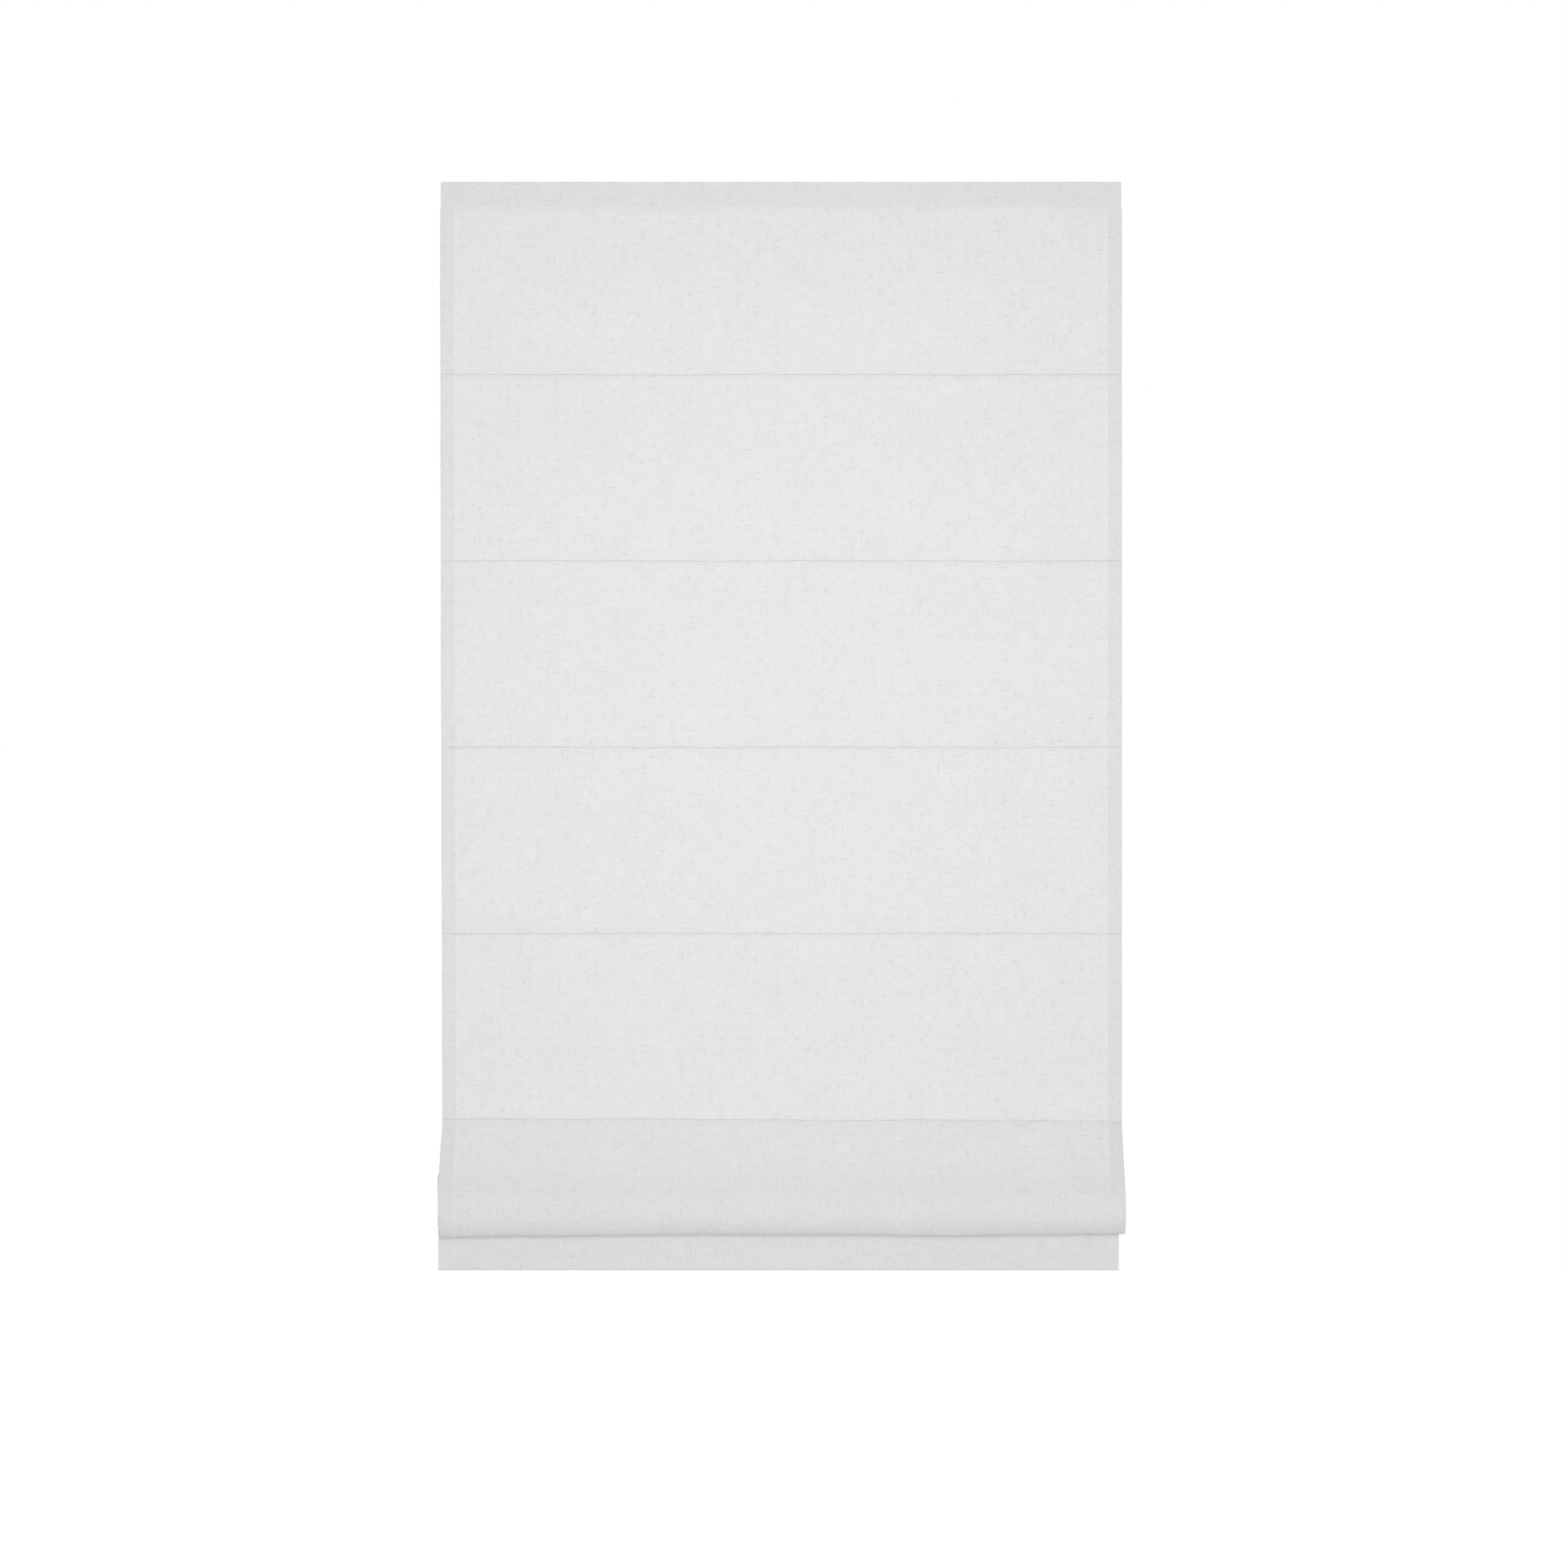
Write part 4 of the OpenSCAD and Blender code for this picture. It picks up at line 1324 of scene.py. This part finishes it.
class ClothSheet:
    """The blind's cloth: one sheet in the section's form, cut where the bodies that carry it part."""

    def __init__(self, sizes: ClothSizes, drape: Drape) -> None:
        """Lays out the rows of the whole sheet.

        Args:
            sizes: Sizes of the sewn cloth.
            drape: How the cloth departs from its section.
        """
        self.sizes = sizes
        self.drape = drape
        self.section = ClothSection(sizes)
        self.spans: list[tuple[Stretch, int, int]] = []
        rows: list[np.ndarray] = []
        count = 0
        for stretch in self.section.stretches:
            first = 0 if not rows else 1
            rows.append(stretch.points[first:])
            start = max(count - 1, 0)
            count += len(stretch.points) - first
            self.spans.append((stretch, start, count - 1))
        self.rows = np.concatenate(rows)
        self.run = run_lengths(self.rows)

    def surface(self, xs: np.ndarray) -> tuple[np.ndarray, np.ndarray]:
        """Works out the middle of the sheet.

        Args:
            xs: Flat places across the blind.

        Returns:
            The points and the unit normals towards the face, each as rows by columns by 3.
        """
        s, d = self.sizes, self.drape
        waves = d.seam_waves(xs)
        ripples = d.ripples(xs, self.run)
        shape = (len(self.rows), len(xs))
        rise, out = np.zeros(shape), np.zeros(shape)
        for stretch, start, end in self.spans:
            rows = slice(start, end + 1)
            rise[rows] = stretch.hold[:, None] * waves[stretch.seam]
            out[rows] = -stretch.swell[:, None] * ripples[rows]
        off_hem = (np.abs(xs) - s.half_width + s.side_hem) / d.ridge_width
        out -= d.hem_ridge * np.exp(-off_hem ** 2)[None, :] * (self.run > s.top_hem)[:, None]
        rise += self.fold_rise(xs)
        leftness = 0.5 - xs[None, :] / (2 * s.half_width)
        places = xs[None, :] + self.sideways()[:, None] + self.left_edge()[:, None] * leftness
        points = np.stack([places, self.rows[:, :1] + out, self.rows[:, 1:] + rise], axis=2)
        return points, unit_normals(points)

    def sideways(self) -> np.ndarray:
        """Works out the shift of each row along x.

        Returns:
            The shifts: none on the panels, then those of the fold and of the tail.
        """
        d = self.drape
        first, fold, last = (self.run[row] for row in self.pleat_rows())
        above = ((0.0, 0.0), (first, 0.0))
        below = ((fold, d.fold_shift), (last, d.tail_shift), (self.run[-1], d.tail_shift))
        return eased(self.run, above + below)

    def left_edge(self) -> np.ndarray:
        """Works out how far the left edge of each row is drawn in.

        Returns:
            The insets, which grow down to the pleat and end in it.
        """
        d = self.drape
        first, fold, _ = (self.run[row] for row in self.pleat_rows())
        growing = (self.run / first) ** d.inset_growth
        ending = np.clip(1 - 2 * (self.run - first) / (fold - first), 0.0, 1.0)
        return d.left_inset * np.where(self.run < first, growing, ending)

    def pleat_rows(self) -> tuple[int, int, int]:
        """Finds the rows of the pleat.

        Returns:
            Its first, its lowest and its last row.
        """
        start = next(first for stretch, first, _ in self.spans if stretch.zone is Zone.PLEAT)
        end = next(last for stretch, _, last in self.spans if stretch.zone is Zone.FOLD)
        return start, start + int(np.argmin(self.rows[start:end, 1])), end

    def fold_rise(self, xs: np.ndarray) -> np.ndarray:
        """Works out the rise of the pleat's lower edge.

        Args:
            xs: Places across the blind.

        Returns:
            The rise at each row and place.
        """
        lowest = self.pleat_rows()[1]
        foremost = next(first for stretch, first, _ in self.spans if stretch.zone is Zone.FOLD)
        reach = self.run[lowest] - self.run[foremost]
        near = np.clip(1 - np.abs(self.run - self.run[lowest]) / reach, 0.0, 1.0)
        return (near * near * (3 - 2 * near))[:, None] * eased(xs, self.drape.edge_knots)[None, :]

    def offsets(self, points: np.ndarray, normals: np.ndarray) -> tuple[np.ndarray, np.ndarray]:
        """Returns the face and the back of a sheet about its middle."""
        half = self.sizes.thickness / 2
        return points + half * normals, points - half * normals

    def layered(self, rows: slice, xs: np.ndarray) -> np.ndarray:
        """Works out where the cloth lies doubled.

        Args:
            rows: Rows of a piece.
            xs: Places across the blind.

        Returns:
            How much it does at each row and place, 0 to 1.
        """
        s = self.sizes
        inside = (np.abs(xs) < s.half_width - s.side_hem).astype(float)
        z = self.rows[rows, 1]
        band = (z > s.band_z + s.doubled_band[0]) & (z < s.band_z + s.doubled_band[1])
        low = np.clip((s.seams[-1] - z) / s.doubled_fade, 0.0, 1.0)
        return np.maximum(band.astype(float), low)[:, None] * inside[None, :]

    def piece(self, span: tuple[Stretch, int, int]) -> Object:
        """Makes one piece of the sheet, with its hems turned to the back.

        Args:
            span: The piece's stretch and its first and last row.

        Returns:
            The piece.
        """
        stretch, start, end = span
        rows = slice(start, end + 1)
        shell = Shell()
        xs = self.columns()
        points, normals = (grid[rows] for grid in self.surface(xs))
        flat = self.flat(xs, rows)
        shell.add(*self.offsets(points, normals), flat, self.layered(rows, xs))
        if stretch.zone is Zone.BAND:
            self.add_top_hem(shell)
        else:
            hem_rows = self.hem_rows(stretch, rows)
            for side in Side:
                self.add_side_hem(shell, side, hem_rows)
        name = f"cloth_{stretch.zone.value}"
        if stretch.zone in (Zone.DROP, Zone.TUCK):
            name += f"_{stretch.index}"
        return shell.mesh_object(name, LINEN.material())

    def columns(self) -> np.ndarray:
        """Places the sheet's columns, closer together where a side hem ends behind it.

        Returns:
            Their places across the blind.
        """
        s = self.sizes
        edge = s.half_width - s.fold_r
        hem = s.half_width - s.side_hem + np.linspace(-2.0, 2.0, 5) * self.drape.ridge_width
        even = np.linspace(-edge, edge, s.columns)
        apart = np.abs(np.abs(even) - s.half_width + s.side_hem) > 3 * self.drape.ridge_width
        return np.sort(np.concatenate([even[apart], hem, -hem]))

    def hem_rows(self, stretch: Stretch, rows: slice) -> slice:
        """Finds the rows that carry the side hems.

        Args:
            stretch: The piece's stretch.
            rows: The piece's rows.

        Returns:
            All of them, or on the tail those above the bottom hem.
        """
        if stretch.zone is not Zone.TAIL:
            return rows
        stitch_z = self.sizes.bottom_z + self.sizes.bottom_hem
        joint = rows.start + self.section.tail_joint
        below = int(np.argmax(self.rows[joint:, 1] < stitch_z))
        return slice(rows.start, joint + below)

    def flat(self, xs: np.ndarray, rows: slice) -> np.ndarray:
        """Returns the flat position of each point of some rows."""
        grid = np.meshgrid(xs, -self.run[rows])
        return np.stack(grid, axis=2)

    def add_top_hem(self, shell: Shell) -> None:
        """Adds the turned-over back of the top hem.

        Args:
            shell: The piece that it belongs to.
        """
        s = self.sizes
        path = self.section.top_fold()
        xs = np.linspace(-s.half_width + s.fold_r, s.half_width - s.fold_r, s.columns)
        places = np.broadcast_to(xs, (len(path), len(xs)))
        heights = np.broadcast_to(path[:, None, :], (len(path), len(xs), 2))
        points = np.concatenate([places[:, :, None], heights], axis=2)
        run = run_lengths(path)
        flat = np.stack(np.meshgrid(xs, run[-1] - run), axis=2)
        shell.add(*self.offsets(points, unit_normals(points)), flat, np.zeros(places.shape))

    def add_side_hem(self, shell: Shell, side: Side, rows: slice) -> None:
        """Adds a side hem: round the edge and in along the back.

        Args:
            shell: The piece that it belongs to.
            side: The edge that it is on.
            rows: The rows that carry it.
        """
        s = self.sizes
        back_columns = 5
        turn = np.radians(np.linspace(90.0, -90.0, TIGHT_STEPS + 1))
        along_back = np.linspace(s.fold_r, s.side_hem, back_columns + 1)[1:]
        inset = np.concatenate([s.fold_r * (1 - np.cos(turn)), along_back])
        depth = np.concatenate([s.fold_r * (1 - np.sin(turn)), np.full(back_columns, 2 * s.fold_r)])
        run = np.concatenate([[0.0], np.cumsum(np.hypot(np.diff(inset), np.diff(depth)))])
        if side is Side.LEFT:
            inset, depth, run = inset[::-1], depth[::-1], run[::-1]
        xs = side.value * (s.half_width - inset)
        columns = [self.column(x) for x in xs]
        points = np.stack([c[0][rows] - c[1][rows] * d for c, d in zip(columns, depth)], axis=1)
        flat = np.stack(np.meshgrid(side.value * (s.half_width + run), -self.run[rows]), axis=2)
        shell.add(*self.offsets(points, unit_normals(points)), flat, np.zeros(points.shape[:2]))

    def column(self, x: float) -> tuple[np.ndarray, np.ndarray]:
        """Works out the middle of the sheet at one place.

        Args:
            x: The place across the blind.

        Returns:
            The points and the unit normals, each as rows by 3.
        """
        beside = 1 * MM
        points, normals = self.surface(np.array([x - beside, x, x + beside]))
        return points[:, 1], normals[:, 1]

    def length(self, span: tuple[Stretch, int, int]) -> float:
        """Returns the flat length of one piece of the sheet."""
        return float(self.run[span[2]] - self.run[span[1]])


@dataclass(frozen=True)
class Carrier:
    """What a piece of the cloth rides on, and how it gathers as the blind rises.

    Attributes:
        body: Body that the piece rides on.
        anchor_z: Height that the piece gathers towards, or None if it keeps its form.
        keep: Share of its height that is left at the top.
        rests_on: Nodes that hold it.
    """

    body: str
    anchor_z: float | None
    keep: float
    rests_on: tuple[str, ...]


@dataclass(frozen=True)
class Gathering:
    """How the cloth lies when the blind is up.

    Attributes:
        first_drop: How far the first rod then hangs below the top edge.
        pitch: Distance from each rod to the next one below it.
        parting: Gap that stays between pieces of cloth.
    """

    first_drop: float = 60 * MM
    pitch: float = 20 * MM
    parting: float = 0.03 * MM

    def carrier(self, stretch: Stretch, sizes: ClothSizes) -> Carrier:
        """Finds what carries a stretch of the cloth.

        Args:
            stretch: The stretch.
            sizes: Sizes of the sewn cloth.

        Returns:
            Its carrier.
        """
        s, k = sizes, stretch.index
        if stretch.zone is Zone.BAND:
            return Carrier("headrail", None, 1.0, ("loop_tape",))
        if stretch.zone is Zone.TUCK:
            return Carrier(f"rod_{k}", None, 1.0, (f"rod_{k}",))
        if stretch.zone is Zone.FOLD:
            return Carrier("bottom", None, 1.0, (f"rod_{RODS}",))
        if stretch.zone is Zone.TAIL:
            return Carrier("bottom", None, 1.0, (f"rod_{RODS}", "bottom_bar"))
        if stretch.zone is Zone.PLEAT:
            hung = s.seams[-2] - s.seams[-1]
            top_z = float(stretch.points[0, 1])
            span = top_z - float(stretch.points[-1, 1])
            left = span - hung + self.pitch - self.parting
            return Carrier(f"rod_{RODS - 1}", top_z, left / span, (f"rod_{RODS - 1}", f"rod_{RODS}"))
        if k == 1:
            hung = s.band_z - s.seams[0] - s.tuck_half
            left = self.first_drop - s.top_hem - s.tuck_half - self.parting
            return Carrier("headrail", s.band_z, left / hung, ("loop_tape", "rod_1"))
        hung = s.seams[k - 2] - s.seams[k - 1] - 2 * s.tuck_half
        left = self.pitch - 2 * s.tuck_half - self.parting
        top_z = s.seams[k - 2] - s.tuck_half
        return Carrier(f"rod_{k - 1}", top_z, left / hung, (f"rod_{k - 1}", f"rod_{k}"))


def carry(piece: Object, carrier: Carrier) -> None:
    """Makes a piece ride on its body, and gives it a mesh of its own where its carrier has a height to gather
    towards.

    Args:
        piece: A piece of cloth, or its stitches.
        carrier: What carries it.
    """
    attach(piece, carrier.body)
    if carrier.anchor_z is not None:
        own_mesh(piece)


@dataclass
class BlindCloth:
    """The cloth with its stitching."""

    sizes: ClothSizes
    drape: Drape = Drape()
    gathering: Gathering = Gathering()
    stitch_pitch: float = 3.6 * MM
    stitch_length: float = 2.9 * MM
    thread: float = 0.28 * MM
    stitch_sink: float = 0.3 * MM
    row_end: float = 2 * MM
    hem_stitch: float = 2.5 * MM
    tape_stitch: float = 0.42

    def build(self, rows: StitchRow) -> None:
        """Makes every piece of cloth and its stitches, and gives them their carriers.

        Args:
            rows: The recipe for a row of stitches.
        """
        sheet = ClothSheet(self.sizes, self.drape)
        for span in sheet.spans:
            carrier = self.gathering.carrier(span[0], self.sizes)
            piece = sheet.piece(span)
            carry(piece, carrier)
            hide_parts("cloth_panel")
            stitches = self.stitch(sheet, span, rows, piece.name.replace("cloth", "stitches"))
            carry(stitches, carrier)
            width = 2 * (self.sizes.half_width + self.sizes.side_hem)
            length = sheet.length(span)
            if span[0].zone is Zone.BAND:
                width, length = 2 * self.sizes.half_width, length + self.sizes.top_hem
            list(carrier.rests_on)
            LOG.info("%s: %d faces, rides on %s", piece.name, len(piece.data.polygons), carrier.body)

    def stitch(self, sheet: ClothSheet, span: tuple[Stretch, int, int], rows: StitchRow, name: str) -> Object:
        """Makes the stitches of one piece of cloth.

        Args:
            sheet: The whole sheet.
            span: The piece's stretch and its first and last row.
            rows: The recipe for a row of stitches.
            name: Name of the new piece.

        Returns:
            The stitches as one mesh.
        """
        lines = list(self.seam_lines(sheet, span))
        starts = np.cumsum([0] + [len(line) for line in lines])
        edges = [(a + i, a + i + 1) for a, line in zip(starts, lines) for i in range(len(line) - 1)]
        made = mesh_object(name, np.concatenate(lines), [], None, edges)
        return rows.run(made, pitch=self.stitch_pitch, length=self.stitch_length, thickness=self.thread,
                        material=SEWING_THREAD.material())

    def seam_lines(self, sheet: ClothSheet, span: tuple[Stretch, int, int]) -> Iterator[np.ndarray]:
        """Draws the lines that the stitches of one piece lie on.

        Args:
            sheet: The whole sheet.
            span: The piece's stretch and its first and last row.

        Yields:
            Points along each line, as n by 3.
        """
        s = self.sizes
        stretch, start, end = span
        rows = sheet.hem_rows(stretch, slice(start + 1, end))
        lift, hem_back = s.thickness / 2, 2 * s.fold_r + s.thickness / 2
        if stretch.zone is not Zone.BAND:
            for side in Side:
                x = side.value * (s.half_width - s.side_hem + self.hem_stitch)
                points, normals = (column[rows] for column in sheet.column(x))
                yield points + lift * normals
                yield points - hem_back * normals
        xs = np.linspace(-s.half_width + self.row_end, s.half_width - self.row_end, s.columns)
        points, normals = sheet.surface(xs)
        if stretch.zone is Zone.BAND:
            for row in (end - 1, start + round((end - start) * self.tape_stitch)):
                yield points[row] + lift * normals[row]
                yield points[row] - hem_back * normals[row]
        if stretch.zone in (Zone.TUCK, Zone.TAIL):
            z = s.seams[stretch.index - 1 if stretch.zone is Zone.TUCK else RODS - 1]
            stitch_y = s.plane_y + s.stitch_back
            for turn in (-1, 1):
                place = np.array([stitch_y - self.stitch_sink, z + turn * (s.stem_gap + lift)])
                yield np.column_stack([xs, np.broadcast_to(place, (len(xs), 2))])
        if stretch.zone is Zone.TAIL:
            joint = start + sheet.section.tail_joint
            stitch_z = s.bottom_z + s.bottom_hem - self.hem_stitch
            row = joint + int(np.argmax(sheet.rows[joint:, 1] < stitch_z))
            yield points[row] + lift * normals[row]
            yield points[row] - hem_back * normals[row]


# Cords, mechanism and hardware


@dataclass
class LiftCords:
    """The two lift cords behind the cloth, from the stops up through the rings to the spools."""

    lean: float = 2.6 * MM
    radius: float = 0.7 * MM
    braid_length: float = 3.2 * MM
    ring_step: float = 9 * MM
    wrap_turns: float = 4.0
    wrap_spacing: float = 2.1

    def build(self, coil: Coil) -> None:
        """Makes the cords, and the turns that stay on the spools.

        Args:
            coil: The recipe for a coil.
        """
        _, shaft_y, shaft_z = middle("lift_shaft")
        seats = []
        for side in CORD_SIDES:
            low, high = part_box(f"lift_cord_{side}")
            x, y, _ = middle(f"lift_cord_{side}")
            cord = tube(f"cord_{side}", self.path(x, y, low.z, high.z), self.radius, self.braid_length,
                        CORD_BRAID.material())
            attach(cord, "headrail")
            length = high.z - low.z
            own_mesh(cord)
            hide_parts(f"lift_cord_{side}")
            seats.append((x, shaft_y, shaft_z))
            LOG.info("%s: %.3f m of cord", cord.name, length)
        wrap_r = shaft_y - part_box("lift_cord_left")[0].y - self.radius
        wraps = mesh_object("cord_wraps", np.array(seats), [], None)
        coil.run(wraps, turns=self.wrap_turns, radius=wrap_r,
                 length=self.wrap_turns * self.wrap_spacing * self.radius, wire=2 * self.radius, flatten=1.0,
                 steps=24, material=SEWING_THREAD.material())
        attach(wraps, "lift_shaft")

    @staticmethod
    def travel() -> float:
        """Works out how far the blind travels.

        Returns:
            The rise of the last rod until the blind is gathered.
        """
        gathering = Gathering()
        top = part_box("cloth_panel")[1].z
        last = middle(f"rod_{RODS}")[2]
        return top - gathering.first_drop - (RODS - 1) * gathering.pitch - last

    def path(self, x: float, y: float, low_z: float, high_z: float) -> np.ndarray:
        """Draws a cord's line, which leans to one side in the rings.

        Args:
            x: Its place across the blind.
            y: Its depth.
            low_z: Height of its lower end.
            high_z: Height of its upper end.

        Returns:
            Points along it, as n by 3.
        """
        steps = math.ceil((high_z - low_z) / self.ring_step)
        z = np.linspace(low_z, high_z, steps + 1)
        rings = [middle(f"cord_rings_{k}")[2] for k in (RODS, 1)]
        guide_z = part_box("headrail")[0].z
        knots_z = (low_z, rings[0], rings[1], guide_z, high_z)
        knots_x = (0.0, -self.lean, self.lean, 0.0, 0.0)
        return np.column_stack([x + np.interp(z, knots_z, knots_x), np.full(len(z), y), z])


@dataclass
class LiftSpring:
    """The close-wound spring round the shaft in the rail."""

    turn_pitch: float = 2.0 * MM
    wire: float = 1.92 * MM

    def build(self, coil: Coil) -> None:
        """Winds the spring.

        Args:
            coil: The recipe for a coil.
        """
        low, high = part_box("lift_spring")
        length, outer = high.x - low.x, (high.z - low.z) / 2
        _, axis_y, axis_z = middle("lift_spring")
        seat = np.array([[low.x + self.wire / 2, axis_y, axis_z]])
        spring = mesh_object("spring_coil", seat, [], None)
        coil.run(spring, turns=(length - self.wire) / self.turn_pitch, radius=outer - self.wire / 2,
                 length=length - self.wire, wire=self.wire, flatten=1.0, steps=20,
                 material=SPRING_STEEL.material())
        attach(spring, "headrail")
        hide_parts("lift_spring")


@dataclass
class RingTies:
    """Thread that sews each cord ring to the tunnel of its rod."""

    thread: float = 0.55 * MM
    turns: float = 5.0
    turn_spacing: float = 1.15

    def build(self, coil: Coil) -> None:
        """Makes the ties of each rod's two rings.

        Args:
            coil: The recipe for a coil.
        """
        for k in range(1, RODS + 1):
            ring_low, ring_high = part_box(f"cord_rings_{k}")
            wire = ring_high.z - ring_low.z
            tunnel_back = middle(f"rod_{k}")[1] + ClothSizes.tunnel_r
            ring_inner = ring_low.y + wire
            tie_y, reach = (tunnel_back + ring_inner) / 2, (ring_inner - tunnel_back) / 2 + self.thread
            tie_z = middle(f"cord_rings_{k}")[2]
            length = (self.turns - 1) * self.thread * self.turn_spacing
            cords = [middle(f"lift_cord_{side}")[0] for side in CORD_SIDES]
            seats = np.array([(x - length / 2, tie_y, tie_z) for x in cords])
            ties = mesh_object(f"ring_ties_{k}", seats, [], None)
            flatten = (wire / 2 + self.thread / 2) / reach
            coil.run(ties, turns=self.turns, radius=reach, length=length, wire=self.thread, flatten=flatten,
                     steps=14, material=SEWING_THREAD.material())
            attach(ties, "bottom" if k == RODS else f"rod_{k}")


@dataclass
class Hardware:
    """Finishes of the solids that stay in view as they are, by how their names start, longer ones first."""

    finishes: tuple[tuple[str, Finish], ...] = (
        ("headrail", RAIL_PAINT), ("end_cap", CAP_PLASTIC), ("bracket", BRACKET_STEEL),
        ("spool_cradle", MECHANISM_PLASTIC), ("spring_anchor", MECHANISM_PLASTIC),
        ("spring_collar", MECHANISM_PLASTIC), ("cord_spool", MECHANISM_PLASTIC), ("lift_shaft", SHAFT_STEEL),
        ("hook_tape", TAPE_PILE), ("loop_tape", TAPE_PILE), ("rod_caps", CAP_PLASTIC), ("rod_", ROD_RESIN),
        ("cord_rings", RING_PLASTIC), ("cord_stops", RING_PLASTIC), ("bottom_bar_shoes", CAP_PLASTIC),
        ("bottom_bar", BAR_METAL))

    def dress(self, nodes: dict[str, Object]) -> None:
        """Gives each solid the first finish in the list that fits its name.

        Args:
            nodes: The frame's solids by name.
        """
        for name, node in nodes.items():
            finish = next((f for start, f in self.finishes if name.startswith(start)), None)
            if finish is None:
                continue
            node.data.materials.clear()
            node.data.materials.append(finish.material())
            LOG.info("%s: %s", name, finish.name)


# Studio


@dataclass
class Studio:
    """Camera, light and floor for a straight view from the room."""

    distance: float = 5.0
    sensor: float = 36.0
    lens: float = 78.2
    camera_x: float = 4.4 * MM
    camera_drop: float = 0.884
    floor_drop: float = 0.45
    ambient: float = 0.36
    key_power: float = 33.4
    key_rise: float = 0.32
    key_side: float = 0.03
    key_turn: float = -0.02
    key_reach: float = 4.6
    key_size: float = 1.8
    back_power: float = 20.0
    back_place: tuple[float, float] = (1.2, 3.2)
    back_rise: float = 0.6
    back_size: float = 1.6
    lamp_spread: float = 96.0
    floor_level: float = 0.80
    floor_tones: tuple[float, float] = (-0.01, 0.01)
    floor_waves: float = 3.0
    floor_glow: float = 0.76
    floor_half: float = 4.0
    floor_reach: float = 3.0

    def build(self, sizes: ClothSizes) -> None:
        """Makes the camera, the light and the floor.

        Args:
            sizes: Sizes of the sewn cloth.
        """
        self.view(sizes)
        self.sky()
        mid_z = (sizes.top_z + sizes.bottom_z) / 2
        key_place = (self.key_side, sizes.plane_y - self.key_reach, mid_z)
        key_aim = (self.key_turn, sizes.plane_y, mid_z + self.key_rise)
        self.lamp("key_light", key_place, key_aim, self.key_size, self.key_power)
        back_place = (*self.back_place, mid_z + self.back_rise)
        self.lamp("back_light", back_place, (0.0, 0.0, mid_z), self.back_size, self.back_power)
        self.floor(sizes.bottom_z - self.floor_drop)
        bpy.context.scene.view_settings.view_transform = "Standard"

    def view(self, sizes: ClothSizes) -> None:
        """Makes the camera, level and straight on.

        Args:
            sizes: Sizes of the sewn cloth.
        """
        camera = bpy.data.cameras.new("camera")
        camera.lens, camera.sensor_width = self.lens, self.sensor
        seat = bpy.data.objects.new("camera", camera)
        seat.location = (self.camera_x, sizes.plane_y - self.distance, sizes.top_z - self.camera_drop)
        seat.rotation_euler = (math.pi / 2, 0.0, 0.0)
        bpy.context.scene.collection.objects.link(seat)
        bpy.context.scene.camera = seat

    def sky(self) -> None:
        """Makes a world that is white to look at and lights at a plain level."""
        world = bpy.data.worlds.new("studio")
        bpy.context.scene.world = world
        world.use_nodes = True
        sky = NodeTree(world.node_tree)
        path = sky.node("ShaderNodeLightPath").outputs
        seen = path["Is Camera Ray"]
        for name in ("Is Glossy Ray", "Is Transmission Ray"):
            seen = sky.node("ShaderNodeMath", {0: seen, 1: path[name]}, operation="MAXIMUM").outputs[0]
        level = sky.node("ShaderNodeMapRange", {"Value": seen, "To Min": self.ambient, "To Max": 1.0})
        background = world.node_tree.nodes["Background"]
        sky.feed(background.inputs["Color"], grey(1.0))
        sky.feed(background.inputs["Strength"], level.outputs[0])

    def lamp(self, name: str, place: Sequence[float], aim: Sequence[float], size: float,
             power: float) -> None:
        """Makes a square soft light.

        Args:
            name: Name of the light.
            place: Where it hangs.
            aim: What it points at.
            size: Length of its sides.
            power: Its power in watts.
        """
        light = bpy.data.lights.new(name, "AREA")
        light.shape = "RECTANGLE"
        light.size, light.size_y = size, size
        light.energy = power
        light.spread = math.radians(self.lamp_spread)
        lamp = bpy.data.objects.new(name, light)
        lamp.location = place
        ahead = np.asarray(aim) - np.asarray(place)
        lamp.rotation_euler = (math.atan2(math.hypot(ahead[0], ahead[1]), -ahead[2]), 0.0,
                               math.atan2(-ahead[0], ahead[1]))
        lamp.visible_camera = False
        bpy.context.scene.collection.objects.link(lamp)

    def floor(self, z: float) -> None:
        """Makes a pale floor that is white where it is lit and keeps the shadow.

        Args:
            z: Its height.
        """
        shade = Shading("pale_floor")
        grain = shade.noise(shade.object_coords(self.floor_waves), 3.0)
        colour = shade.mottled(grain, self.floor_level, self.floor_tones)
        matt = shade.principled({"Base Color": colour, "Roughness": 0.9, "Specular IOR Level": 0.1})
        seen = shade.node("ShaderNodeLightPath").outputs["Is Camera Ray"]
        strength = shade.math("MULTIPLY", seen, self.floor_glow)
        glow = shade.node("ShaderNodeEmission", {"Color": grey(1.0), "Strength": strength})
        material = shade.done(shade.node("ShaderNodeAddShader", {0: matt, 1: glow.outputs[0]}).outputs[0])
        x, y = self.floor_half, self.floor_reach
        corners = np.array([(-x, -y, z), (x, -y, z), (x, y, z), (-x, y, z)])
        mesh_object("floor", corners, [(0, 1, 2, 3)], material)


def main() -> None:
    """Loads the frame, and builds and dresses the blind."""
    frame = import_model()
    sizes = ClothSizes.from_frame()
    Studio().build(sizes)
    stitch_rows, coil = StitchRow("stitch_row"), Coil("coil")
    LiftCords().build(coil)
    BlindCloth(sizes).build(stitch_rows)
    LiftSpring().build(coil)
    RingTies().build(coil)
    Hardware().dress(frame["nodes"])


if __name__ == "__main__":
    logging.basicConfig(level=logging.INFO, format="%(message)s")
    main()
